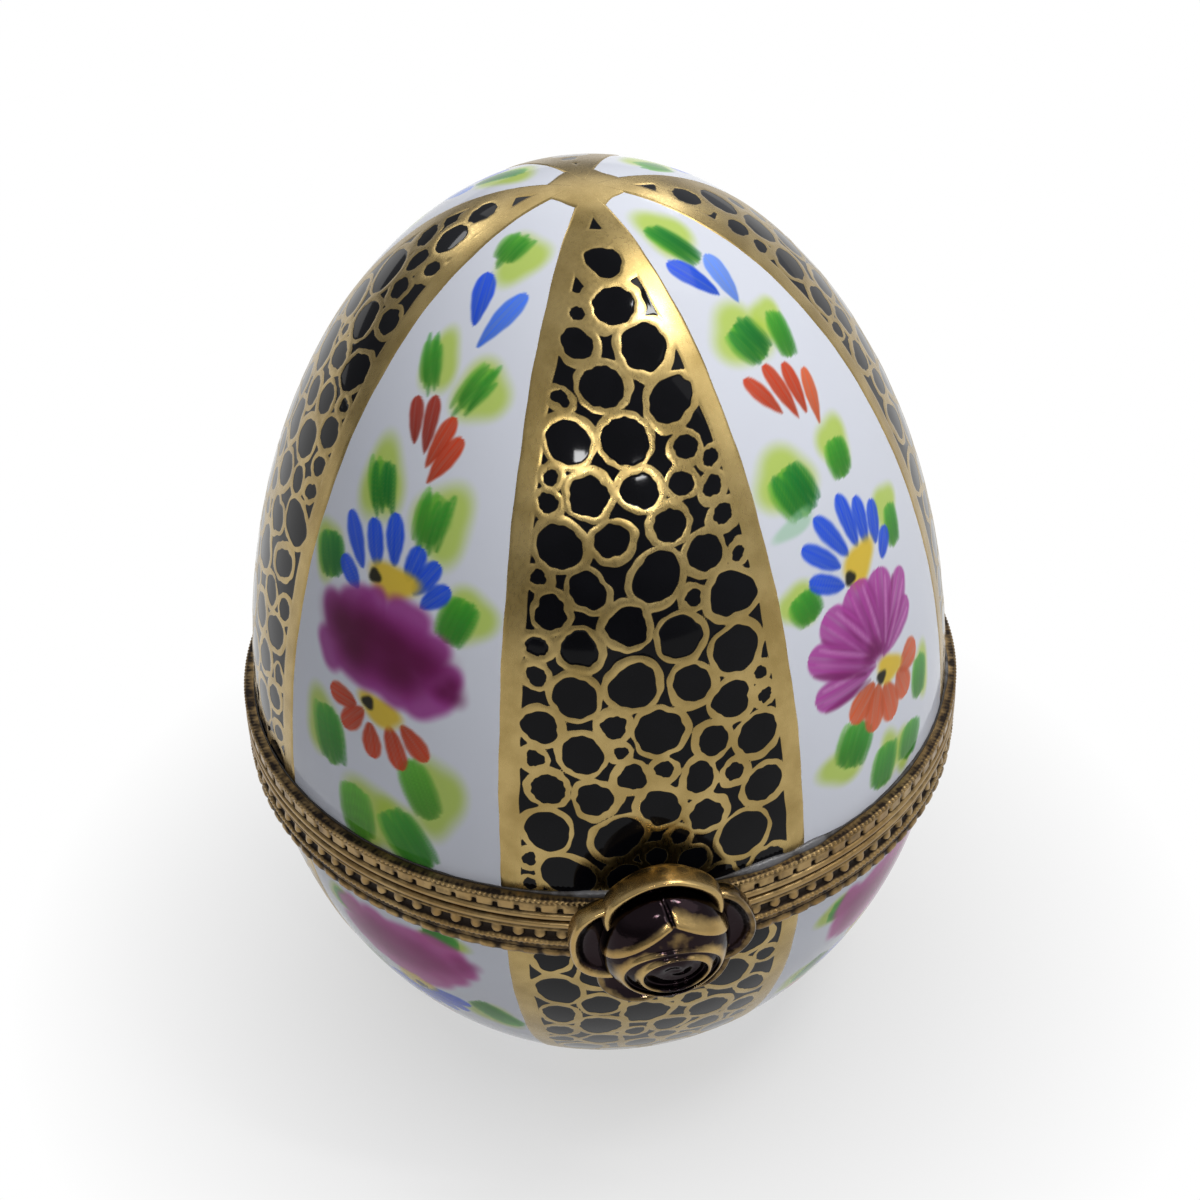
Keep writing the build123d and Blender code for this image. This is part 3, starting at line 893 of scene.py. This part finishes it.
# %% [markdown]
# ## Stamped collars
# Each collar was rolled from strip with its pattern already stamped in. A collar is one closed profile
# carried round the rim: its outer side follows a height that depends on both the distance from the seam
# and the azimuth, so ridges, dentils, milling and scallops are all part of one formula. Sixteen columns to
# each dentil keep the stamped corners crisp.

# %% Collar pattern
DENTILS = 110
COLUMNS_PER_DENTIL = 16
collar_azimuth = np.arange(DENTILS * COLUMNS_PER_DENTIL) * 2 * np.pi / (DENTILS * COLUMNS_PER_DENTIL)
TICKS_PER_DENTIL = 4
RIM_WEAR = 0.62


def half_round(drop, centre, half):
    """Cross-section of a half-round ridge: root(1 - x^2) about its centre line."""
    return np.sqrt(np.clip(1 - ((drop - centre) / half) ** 2, 0, None))


def plateau(x, half, soft):
    """1 within half of zero, falling softly to 0."""
    return step(half + soft, half - soft, np.abs(x))


def dentil_phase(shift=0.0):
    """Place within one dentil, from -0.5 to 0.5, at every column."""
    return (collar_azimuth * DENTILS / (2 * np.pi) + shift + 0.5) % 1 - 0.5


def milling(drop):
    """Square ticks, four to a dentil: two columns up and two down."""
    tick = np.arange(len(collar_azimuth)) % (COLUMNS_PER_DENTIL // TICKS_PER_DENTIL) < 2
    return np.broadcast_to(tick.astype(float), (len(drop), len(tick)))


def highest(*parts):
    """The greatest of several heights at each point."""
    return np.maximum.reduce(np.broadcast_arrays(*parts))


def lid_pattern(drop):
    """Lip, groove, flat pads with dark pits under their gaps, and a finely serrated upper edge."""
    lip = half_round(drop, 0.27, 0.27)
    pads = 0.80 * plateau(dentil_phase(), 0.40, 0.05) * plateau(drop - 0.98, 0.36, 0.08)
    rail = 0.62 * plateau(drop - 1.14, 0.20, 0.08)
    edge = (0.62 + 0.30 * milling(drop)) * plateau(drop - 1.46, 0.13, 0.06)
    return highest(lip, pads, rail, edge)


def base_pattern(drop):
    """Lip, a rail with dentils hanging from it in a dark channel, a milled ridge and a scalloped edge."""
    lip = half_round(drop, 0.27, 0.27)
    rail = 0.70 * plateau(drop - 0.66, 0.10, 0.05)
    phase = dentil_phase(0.5)
    tooth_end = 1.36 - 2.2 * phase ** 2
    across_tooth = np.sqrt(np.clip(1 - (phase / 0.31) ** 2, 0, None))
    dentil = across_tooth * (0.74 + 0.21 * step(0.75, 1.15, drop))
    dentil = dentil * step(tooth_end + 0.06, tooth_end - 0.10, drop) * step(0.55, 0.66, drop)
    ridge = half_round(drop, 1.76, 0.22) * (0.82 + 0.18 * milling(drop))
    shelf = 0.42 * plateau(drop - 2.12, 0.20, 0.06)
    scallop = 0.80 * half_round(drop, 2.62, 0.30) * (0.55 + 0.45 * plateau(dentil_phase(), 0.34, 0.12))
    return highest(lip, rail, dentil, ridge, shelf, scallop)


print("%d dentils, one every %.2f mm" % (DENTILS, 2 * np.pi * collar_radius / DENTILS))

# %% [markdown]
# ## Rolling the collars
# Both collars are built from the seam, the lid's upwards and the base's downwards. That mirrors the base's
# grid, and the faces of a mirrored grid look inwards, so its rows are taken in the other order.

# %% Collars
def facing(flip, *grids):
    """Takes the rows of grids in the other order where their faces would look inwards."""
    return [grid[::-1] if flip else grid for grid in grids]


def stamped_collar(name, sense, height, pattern, rows):
    """Closed profile round the rim: the patterned outside, then the edge, the bedding and the flat face."""
    drop = np.linspace(0, height, rows)[:, None]
    relief = pattern(drop)
    outside = band_outer + moulding_depth * relief
    corners = np.array([(band_inner, height), (band_inner, collar_face), (bore_radius, collar_face),
                        (bore_radius, 0.0)])
    radius = np.concatenate([outside, np.broadcast_to(corners[:, :1], (4, outside.shape[1]))])
    down = np.concatenate([np.broadcast_to(drop, outside.shape),
                           np.broadcast_to(corners[:, 1:], (4, outside.shape[1]))])
    z = seam + sense * (seam_gap / 2 + down)
    points = round_axis(radius, collar_azimuth, z)
    worn = np.concatenate([relief, np.full((4, outside.shape[1]), RIM_WEAR)])
    worn[0] = RIM_WEAR
    points, worn = facing(sense < 0, points, worn)
    return surface(name, points, wrap_rows=True, wrap_columns=True, values={"relief": worn}, sharp_angle=50)


for half, height, pattern, rows in (("lid", lid_collar_height, lid_pattern, 34),
                                    ("base", base_collar_height, base_pattern, 46)):
    rim = stamped_collar(half + "_brass_collar", SENSE[half], height, pattern, rows)
    fit(rim, half, "brass", collar_brass, half + "_collar")

# %% [markdown]
# ## Cement beads
# The collars are bedded in cement. Most of what was squeezed out was wiped off, which left a thin dark line
# along each edge with a few grey beads. The line is a slender ring whose thickness swells at the beads, and
# the swelling also picks the colour.

# %% Cement beads
def cement_finish():
    """Dark with old polish where thin, grey and slightly glossy in the beads."""
    material, tree, shader = finish("old_cement", IOR=1.5)
    speckle = spread(tree, noise(tree, 1400, 5.0), 0.3, 0.7, -0.35, 0.35)
    blotch = combine(tree, "ADD", attribute(tree, "swell").outputs["Fac"], speckle)
    beaded = spread(tree, blotch, 0.25, 0.75)
    tone = blend_colour(tree, beaded, rgba(40, 35, 31), rgba(92, 91, 92))
    tree.links.new(tone, shader.inputs["Base Color"])
    tree.links.new(spread(tree, beaded, 0, 1, 0.6, 0.25), shader.inputs["Roughness"])
    bump(tree, shader, noise(tree, 2600, 4.0), 0.00012, 0.6)
    return material


def cement_bead(name, half, arc, beads, seed):
    """Tube along the collar's edge; its thickness is a thin mean plus a bell curve for each bead."""
    rng = np.random.default_rng(seed)
    azimuth = np.linspace(-np.pi, np.pi, 900, endpoint=False)[:, None]
    swell = np.zeros_like(azimuth)
    for turn, spread_out, size in beads:
        swell = np.maximum(swell, size * np.exp(-((np.degrees(azimuth) - turn) / spread_out) ** 2))
    waves = sum(rng.uniform(0.2, 1) * np.sin(k * azimuth + rng.uniform(0, 6)) for k in (9, 23, 61, 97))
    thick = 0.06 + 0.012 * np.clip(waves, -1.5, 2) + 0.20 * swell
    turn = full_turn(12)[None, :]
    points = on_shell(half, azimuth, arc + 1.3 * thick * np.cos(turn), 0.10 + thick * np.sin(turn))
    points, swell = facing(half == "lid", points, np.broadcast_to(swell, points.shape[:2]))
    return surface(name, points, wrap_rows=True, wrap_columns=True, values={"swell": swell})


# Azimuth in degrees, half width in degrees and size of each bead.
BEADS = {"lid": [(-9, 6.5, 0.9), (-3, 3, 1.0), (17, 5, 1.3), (25, 4, 1.0), (48, 5, 0.35), (75, 6, 0.5),
                 (141, 9, 0.7), (168, 5, 0.9), (-165, 6, 0.8), (-120, 6, 0.4)],
         "base": [(-96, 7, 0.5), (-20, 3, 0.25), (66, 5, 0.4), (150, 8, 0.8), (-171, 5, 0.9)]}
cement_grey = cement_finish()
for half, height, rise, seed in (("lid", lid_collar_height, 0.03, 71),
                                 ("base", base_collar_height, 0.0, 72)):
    bead = cement_bead(half + "_cement_bead", half, seam_gap / 2 + height + rise, BEADS[half], seed)
    fit(bead, half, "cement", cement_grey, half + "_cement")

# %% [markdown]
# ## The rose: open petals
# The clasp is a cast rose. Five open petals lie round the bud. Each is a thick, slightly dished plate with a
# rounded edge, rubbed bright there and dark in its dish. A petal is one profile, from the middle of its
# dish over the edge to the middle of its back, carried round an oval that is wider across than it is long.
# The top petal is the broadest and lies over both its neighbours.

# %% Open petals
tongue_outer = -node_box("clasp_tongue")[0][1]
rose_middle = np.array([-0.1, -tongue_outer, seam - 0.2])
# Share of the way from a petal's middle to its edge, and height above the tongue.
PETAL_PROFILE = [(0.0, 0.62), (0.40, 0.60), (0.66, 0.66), (0.80, 0.86), (0.88, 1.02), (0.945, 1.05),
                 (0.985, 0.92), (1.0, 0.66), (1.0, 0.36), (0.975, 0.12), (0.90, 0.0), (0.5, 0.0), (0.0, 0.0)]
# Direction in degrees, place on the ring, half length outwards, half width across, lift and wear of the rim.
PETALS = [(92, 2.70, 2.70, 3.55, 0.52, 0.80), (168, 3.10, 2.60, 2.95, 0.22, 0.74),
          (240, 2.80, 2.45, 2.65, -0.22, 0.34), (306, 2.50, 2.35, 2.60, -0.18, 0.34),
          (14, 2.90, 2.55, 2.85, 0.12, 0.38)]


def rose_point(x, y, out):
    """Place on the rose: x to the right, y up and out away from the egg, from the rose's middle."""
    return np.stack(np.broadcast_arrays(rose_middle[0] + x, rose_middle[1] - out, rose_middle[2] + y), -1)


def open_petal(number, direction, ring, long, wide, lift, rim):
    """The profile carried round an oval: outwards ring + long cos, across wide sin, with a wavy edge."""
    profile = smooth_path(PETAL_PROFILE, count=60)
    turn = full_turn(96)[None, :]
    share, out = profile[:, :1], profile[:, 1:]
    wave = 1 + share * (0.022 * np.cos(3 * turn + number) + 0.014 * np.cos(5 * turn + 2 * number))
    outwards, across = ring + long * share * wave * np.cos(turn), wide * share * wave * np.sin(turn)
    way = np.radians(direction)
    x = outwards * np.cos(way) - across * np.sin(way)
    y = outwards * np.sin(way) + across * np.cos(way)
    curl = 0.16 * share * np.cos(turn) - 0.10 * share ** 2 * np.sin(turn) ** 2
    depth = out + step(0.0, 0.9, out) * (lift + curl)
    worn = 0.12 + rim * step(0.74, 0.92, share) + 0 * x
    piece = surface("rose_petal_%d" % number, rose_point(x, y, depth)[::-1], wrap_columns=True,
                    values={"relief": worn[::-1]})
    return fit(piece, "lid", "brass", rose_brass, *(["clasp_petals"] if number == 0 else []))


for number, petal in enumerate(PETALS):
    open_petal(number, *petal)

# %% [markdown]
# ## The rose: folded bud
# The bud is a dome of petals wrapped round a hollow heart. Two broad petals meet over the top in a chevron,
# an arched petal shows beneath them, and a last fold rings the heart. Each layer is a dome that stops
# at its own mouth with a rolled lip, and the surface drops to the next layer there. A height over the disc
# describes all of it, as a relief carver would see it. Lips are rubbed bright. The same formula also paints
# light into the brass: the upper petals' dark tops are a painted reflection of a dim room, their bright edge
# at the chevron and a spot beneath it are painted highlights, and the cleft, the drops and the heart are
# darkened as painted shade, the heart with patina as well.

# %% Folded bud
BUD_RADIUS = 3.85
BUD_RISE = 4.35
BUD_HEIGHT = 2.6
BUD_SEAT = 0.98
# Direction of each side of the chevron in degrees and its distance from the middle of the bud.
CHEVRON_SIDES = [(61, 2.80), (124, 2.40)]
CHEVRON_CORNER = 0.13
# Middle, half width and half height of a mouth.
ARCH = ((0.20, -0.90), 2.80, 2.00)
FOLD = ((0.35, -1.05), 1.85, 1.40)
HEART_WIDTH = 1.25


def chevron_mouth(x, y):
    """Distance outside a mouth with two slanting upper sides: c log(sum of exp(side's distance / c))."""
    reach = [x * np.cos(np.radians(a)) + y * np.sin(np.radians(a)) - far for a, far in CHEVRON_SIDES]
    return CHEVRON_CORNER * np.log(sum(np.exp(np.clip(r / CHEVRON_CORNER, -60, 60)) for r in reach))


def oval_mouth(x, y, middle, wide, tall):
    """Distance outside an oval mouth, near enough: (its scaled radius - 1) times its mean half-width."""
    return (np.hypot((x - middle[0]) / wide, (y - middle[1]) / tall) - 1) * (wide + tall) / 2


def bell(distance, middle, half):
    """Bell curve: 1 at the middle, 1/e at half to either side."""
    return np.exp(-((distance - middle) / half) ** 2)


def bud_height(x, y):
    """Height of the bud over its disc, and its wear together with painted shade, reflection and highlight.

    A dome, less a drop inside each mouth, plus a lip along its edge. A cleft parts the two upper petals, and
    the heart is a pit with a low spiral fold. Lips are rubbed most at the sides of their mouth. The upper
    petals are dark over their tops, a painted reflection of a dim room, and bright along the chevron, as
    rubbed brass and a painted highlight; a spot under the chevron is a painted highlight too. Painted shade
    darkens the cleft, a band under each lip and the heart, where patina also lies.
    """
    far = np.hypot(x / BUD_RADIUS, y / np.where(y > 0, BUD_RISE, BUD_RADIUS))
    height = BUD_HEIGHT * np.sqrt(np.clip(1 - far ** 2, 0, None)) ** 0.85
    upper = chevron_mouth(x, y)
    arch, fold = oval_mouth(x, y, *ARCH), oval_mouth(x, y, *FOLD)
    sideways = np.abs(x - 0.3) / (0.1 + np.hypot(x - 0.3, y + 1.0))
    cleft = bell(x, 0.20 - 0.35 * (y - 3.1), 0.13) * step(-0.05, 0.15, upper) * (y > 0)
    # Upper petals: dark over their tops as a painted reflection of a dim room, bright by the chevron's lip
    # as rubbed brass and a painted highlight.
    wear_and_painted_light = np.where(x < 0.2, step(0.75, 0.12, upper), step(1.20, 0.35, upper)) * 0.85 + 0.10
    # Inside the chevron: a brighter spot is a painted highlight, and the cleft is darkened as painted shade.
    wear_and_painted_light = np.where(upper < 0, 0.26 + 0.20 * bell(np.hypot(x - 0.6, y - 2.0), 0, 0.7), wear_and_painted_light) - 0.8 * cleft
    height = height - 0.34 * cleft + 0.10 * bell(upper, 0.22, 0.24) - 0.44 * step(0.05, -0.05, upper)
    # Painted shade: a dark band just under the chevron's lip.
    wear_and_painted_light = wear_and_painted_light - 0.55 * bell(upper, -0.16, 0.18)
    for mouth, fall, lip in ((arch, 0.24, 0.16), (fold, 0.36, 0.22)):
        inside = step(0.06, -0.06, mouth) * (upper < 0.2)
        height = height - fall * inside + lip * bell(mouth, 0.16, 0.17) * (upper < 0.1)
        rubbed = 0.55 * bell(mouth, 0.24, 0.24) * step(0.25, 0.8, sideways)
        rubbed = rubbed + 0.16 * bell(mouth, 0.15, 0.12)
        # Painted shade: dark just inside each mouth, under its lip.
        wear_and_painted_light = wear_and_painted_light + (rubbed - 0.6 * bell(mouth, -0.16, 0.18)) * (upper < 0)
    heart_x, heart_y = FOLD[0]
    deep = np.hypot((x - heart_x) / HEART_WIDTH, y - heart_y)
    turn = np.arctan2(y - heart_y, x - heart_x)
    heart = step(1.45, 0.9, deep)
    spiral = 0.5 + 0.5 * np.cos(turn - 5.0 * deep + 1.0)
    height = height - 0.14 * heart + 0.12 * spiral * heart * step(0.0, 0.5, deep)
    # The heart: dark with patina and painted shade, lighter along the spiral fold.
    wear_and_painted_light = wear_and_painted_light * (1 - heart) + heart * (0.06 + 0.16 * spiral * step(0.2, 0.9, deep))
    return height, np.clip(wear_and_painted_light, 0, 1)


share = np.linspace(0, 1, 170)[:, None] ** 0.9
turn = full_turn(300)[None, :]
rise = np.where(np.sin(turn) > 0, BUD_RISE, BUD_RADIUS)
x, y = BUD_RADIUS * share * np.cos(turn), rise * share * np.sin(turn)
height, wear_and_painted_light = bud_height(x, y)
under = np.array([0.99, 0.9, 0.0])[:, None]
x = np.concatenate([x, BUD_RADIUS * under * np.cos(turn)])
y = np.concatenate([y, rise * under * np.sin(turn)])
below = np.broadcast_to([[-0.3], [-0.5], [-0.5]], (3, turn.size))
out = BUD_SEAT + np.concatenate([np.maximum(height, 0), below])
wear_and_painted_light = np.concatenate([wear_and_painted_light, np.zeros((3, turn.size))])
# The bud's relief attribute holds its wear together with painted shade, painted reflection and painted
# highlights.
bud = surface("rose_bud", rose_point(x, y, out)[::-1], wrap_columns=True, values={"relief": wear_and_painted_light[::-1]})
fit(bud, "lid", "brass", rose_brass, "clasp_rosebud")

# %% [markdown]
# ## The hinge
# The hinge at the back is out of sight in the picture, so it follows the usual pattern: five knuckles on a
# wire pin. Each leaf is sheet brass, bent to the collar and soldered on, with a line engraved round it, and
# its knuckles are tongues of the same sheet rolled round the pin. A leaf is a profile carried round an
# oblong with rounded corners and then bent to the collar. A knuckle is the rolled section carried along the
# pin, nipped in at its ends and in two turned grooves.

# %% Hinge
KNUCKLES = 5
KNUCKLE_GAP = 0.1
# Distance in from the leaf's outline, height above the collar and wear.
LEAF_PROFILE = [(9.0, 0.36, 0.6), (0.44, 0.36, 0.6), (0.39, 0.27, 0.1), (0.31, 0.27, 0.1),
                (0.26, 0.38, 0.95), (0.10, 0.36, 0.95), (0.0, 0.20, 0.8), (0.0, -0.5, 0.3), (9.0, -0.5, 0.3)]
# Distance from a knuckle's end and share of its full section there.
NIPPED = [(0.0, 0.0), (0.0, 0.84), (0.05, 0.95), (0.14, 1.0), (0.36, 1.0), (0.42, 0.92), (0.50, 0.92),
          (0.56, 1.0)]
TONGUE_REACH = 3.2
TONGUE_UNDERSIDE = 0.12
pin_middle = sum(node_box("hinge_pin")) / 2
leaf_low, leaf_high = node_box("base_hinge_leaf")
knuckle_radius = leaf_high[1] - pin_middle[1]
knuckle_pitch = (leaf_high[0] - leaf_low[0]) / KNUCKLES


def hinge_leaf(body, height):
    """The profile carried round |a/w|^8 + |b/h|^8 = 1, where a is then bent to an angle round the collar."""
    inset, out, worn = np.array(LEAF_PROFILE).T[:, :, None]
    turn = full_turn(160)
    wide, tall = leaf_high[0] - 0.05, height / 2
    inset = np.minimum(inset, tall)
    a = (wide - inset) * np.sign(np.cos(turn)) * np.abs(np.cos(turn)) ** 0.25
    b = (tall - inset) * np.sign(np.sin(turn)) * np.abs(np.sin(turn)) ** 0.25
    middle = seam + SENSE[body] * (seam_gap / 2 + tall)
    radius, angle = collar_radius + out, a / collar_radius
    points = np.stack(np.broadcast_arrays(radius * np.sin(angle), radius * np.cos(angle), middle + b), -1)
    piece = surface(body + "_hinge_plate", points, wrap_columns=True, values={"relief": worn + 0 * a},
                    sharp_angle=35)
    return fit(piece, body, "brass", collar_brass, body + "_hinge_leaf")


def knuckle(number):
    """The rolled section carried along the pin: straight out from the leaf, round the pin and back."""
    body = ("base", "lid")[number % 2]
    around = np.radians(np.linspace(90, -186, 60))
    ring = knuckle_radius * np.stack([np.cos(around), np.sin(around)], -1)
    section = np.concatenate([[(-TONGUE_REACH, knuckle_radius)], ring, [(-TONGUE_REACH, TONGUE_UNDERSIDE)]])
    start = leaf_low[0] + number * knuckle_pitch + KNUCKLE_GAP / 2
    reach, size = np.array(NIPPED).T
    along = np.concatenate([start + reach, start + knuckle_pitch - KNUCKLE_GAP - reach[::-1]])[:, None]
    size = np.concatenate([size, size[::-1]])[:, None]
    out, up = section.T[:, None, :] * size
    points = np.stack(np.broadcast_arrays(along, pin_middle[1] + out, seam + SENSE[body] * up), -1)
    worn = 0.12 + 0.75 * step(-1.5, 0.2, out) * step(0.90, 1.0, size)
    points, worn = facing(body == "lid", points, worn)
    piece = surface("%s_hinge_knuckle_%d" % (body, number), points, wrap_columns=True,
                    values={"relief": worn}, sharp_angle=35)
    return fit(piece, body, "brass", collar_brass)


for body, height in (("lid", lid_collar_height), ("base", base_collar_height)):
    hinge_leaf(body, height)
for number in range(KNUCKLES):
    knuckle(number)

# %% [markdown]
# ## Pin, tongue, stud and rivet
# These pieces are plain bent and turned brass, and their CAD shapes are already right. They keep their
# meshes and only get the brass finish.

# %% Finish on the CAD pieces
for name in ("hinge_pin", "clasp_tongue", "catch_stud", "clasp_rivet"):
    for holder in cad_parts[name].material_slots:
        holder.material = plain_brass
    print("brass on", name)

# %% [markdown]
# ## The floor
# The egg stands on a plain pale floor that runs out of the picture on all sides. A Light Path node tells
# what kind of ray asks for its colour. To the camera and to mirrors the floor is white, and to the light
# that falls on matt surfaces it is plain grey paper. Close to the egg the white thins out, so that the
# egg's shadow still shows there. The thinning also greys a ring of floor round the egg, lit or not, as a
# painted shadow, and the lower egg mirrors that darker ring.

# %% Floor
def seen_ray(tree):
    """1 for rays from the camera, a mirror or glass, 0 for light on matt surfaces."""
    rays = tree.nodes.new("ShaderNodeLightPath").outputs
    mirrored = combine(tree, "MAXIMUM", rays["Is Glossy Ray"], rays["Is Transmission Ray"])
    return combine(tree, "MAXIMUM", rays["Is Camera Ray"], mirrored)


def pale_floor():
    """White to camera and mirror rays, plain paper to the rest; near the egg the white thins to a painted
    shadow.
    """
    material, tree, shader = finish("pale_floor", Base_Color=rgba(172, 172, 172), Roughness=0.9,
                                    Specular_IOR_Level=0.0)
    white = tree.nodes.new("ShaderNodeEmission")
    mix = tree.nodes.new("ShaderNodeMixShader")
    place = tree.nodes.new("ShaderNodeTexCoord")
    reach = tree.nodes.new("ShaderNodeVectorMath")
    reach.operation = "LENGTH"
    tree.links.new(place.outputs["Object"], reach.inputs[0])
    # Painted shadow: less white within a few centimetres of the egg's middle, for the camera and mirrors
    # alike.
    share = spread(tree, reach.outputs["Value"], 0.014, 0.042, 0.58, 1.0)
    tree.links.new(combine(tree, "MULTIPLY", seen_ray(tree), share), mix.inputs[0])
    tree.links.new(shader.outputs[0], mix.inputs[1])
    tree.links.new(white.outputs[0], mix.inputs[2])
    tree.links.new(mix.outputs[0], tree.nodes["Material Output"].inputs["Surface"])
    return material


FLOOR_HALF = 8000.0
sweep = np.linspace(-FLOOR_HALF, FLOOR_HALF, 5)
floor = surface("floor", np.stack([*np.meshgrid(sweep, sweep), np.zeros((5, 5))], -1))
floor.data.materials.append(pale_floor())
print("floor %.0f m square" % (2 * FLOOR_HALF * MM))

# %% [markdown]
# ## Lamps
# Polished gold and glaze show each lamp as a bright patch, so the lamps stand where the picture's glints ask
# for them. A narrow window pane and a ceiling light shine from the upper right, with a softer, wider light
# beside them. Two small lamps stand near the viewer and weak ones behind, and a faint one fills the front.

# %% Lamps
egg_middle = np.array([0.0, 0.0, seam + 6.0])


def toward(azimuth, elevation, distance):
    """Point at that azimuth from the front, elevation and distance from the egg's middle."""
    azimuth, elevation = np.radians([azimuth, elevation])
    return egg_middle + distance * np.array([np.cos(elevation) * np.sin(azimuth),
                                             -np.cos(elevation) * np.cos(azimuth), np.sin(elevation)])


def aim(thing, place, target, roll=0.0):
    """Puts a lamp or camera at place, looking at target, turned by roll about its line of sight."""
    look = (target - place) / np.linalg.norm(target - place)
    right = np.cross(look, (0, 0, 1))
    right /= np.linalg.norm(right)
    up = np.cross(right, look)
    right, up = np.cos(roll) * right - np.sin(roll) * up, np.sin(roll) * right + np.cos(roll) * up
    matrix = np.eye(4)
    matrix[:3, 0], matrix[:3, 1], matrix[:3, 2], matrix[:3, 3] = right, up, -look, place * MM
    thing.matrix_world = matrix.T.tolist()
    bpy.context.scene.collection.objects.link(thing)


def lamp(name, azimuth, elevation, distance, wide, tall, watts):
    """White area lamp that looks at the egg's middle."""
    light = bpy.data.lights.new(name, "AREA")
    light.shape, light.size, light.size_y = "RECTANGLE", wide * MM, tall * MM
    light.energy = watts
    aim(bpy.data.objects.new(name, light), toward(azimuth, elevation, distance), egg_middle)


# Azimuth, elevation, distance, width, height and watts.
LAMPS = {"ceiling_light": (103, 62, 420, 100, 180, 0.30),
         "right_fill": (66, 42, 500, 280, 280, 0.28),
         "window_pane": (64, 66, 430, 28, 100, 0.62),
         "left_lamp": (-14, 38, 420, 28, 28, 0.18),
         "right_lamp": (12, 34, 420, 28, 28, 0.18),
         "back_light": (175, 38, 500, 420, 220, 0.30),
         "back_left_light": (-151, 30, 500, 90, 70, 0.12),
         "back_right_light": (148, 32, 500, 90, 70, 0.12),
         "front_fill": (-35, 50, 600, 500, 400, 0.03)}
for name, settings in LAMPS.items():
    lamp(name, *settings)
print("lamps:", len(LAMPS))

# %% [markdown]
# ## Surroundings
# Metal looks like metal only when it has something to reflect. Mirrors see a backdrop here that is white at
# the right and dim at the lower left, which gives the gold its light and dark sides. Matt surfaces get a
# weak even light, and the camera sees plain white.

# %% Surroundings
def studio():
    """World whose strength depends on the ray: camera rays, mirror rays and light on matt surfaces."""
    world = bpy.data.worlds.new("studio")
    world.use_nodes = True
    tree = world.node_tree
    tree.nodes["Background"].inputs["Color"].default_value = rgba(225, 228, 235)
    way = tree.nodes.new("ShaderNodeSeparateXYZ")
    tree.links.new(tree.nodes.new("ShaderNodeTexCoord").outputs["Generated"], way.inputs[0])
    left = spread(tree, way.outputs["Z"], 0.15, 0.40, 0.30, 0.72)
    backdrop = blend(tree, spread(tree, way.outputs["X"], 0.1, 0.6), left, 1.0)
    mirrored = blend(tree, seen_ray(tree), 0.24, backdrop)
    camera_ray = tree.nodes.new("ShaderNodeLightPath").outputs["Is Camera Ray"]
    tree.links.new(blend(tree, camera_ray, mirrored, 1.3), tree.nodes["Background"].inputs["Strength"])
    return world


bpy.context.scene.world = studio()
bpy.context.scene.view_settings.view_transform = "Standard"
print("world:", bpy.context.scene.world.name)

# %% [markdown]
# ## The camera
# The picture was taken from above and slightly to the left, close enough for the egg to narrow towards its
# foot. Distance, height, turn and lens were found by fitting the egg's outline, its seam and its crown.
# The frame is square, so the lens follows from the sensor's width alone.

# %% Camera
CAMERA_AZIMUTH = -7.85
CAMERA_ELEVATION = 39.75
CAMERA_DISTANCE = 166.5
CAMERA_ROLL = 1.83
LENS = 76.6
FRAME_SHIFT = (0.0, 0.0598)

seam_middle = np.array([0.0, 0.0, seam])
lens = bpy.data.cameras.new("camera")
lens.lens, lens.sensor_width = LENS, 36.0
lens.shift_x, lens.shift_y = FRAME_SHIFT
lens.clip_start, lens.clip_end = 0.005, 20.0
camera = bpy.data.objects.new("camera", lens)
stand = toward(CAMERA_AZIMUTH, CAMERA_ELEVATION, CAMERA_DISTANCE) - egg_middle + seam_middle
aim(camera, stand, seam_middle, np.radians(CAMERA_ROLL))
bpy.context.scene.camera = camera
print("camera at", np.round(stand, 1), "mm")
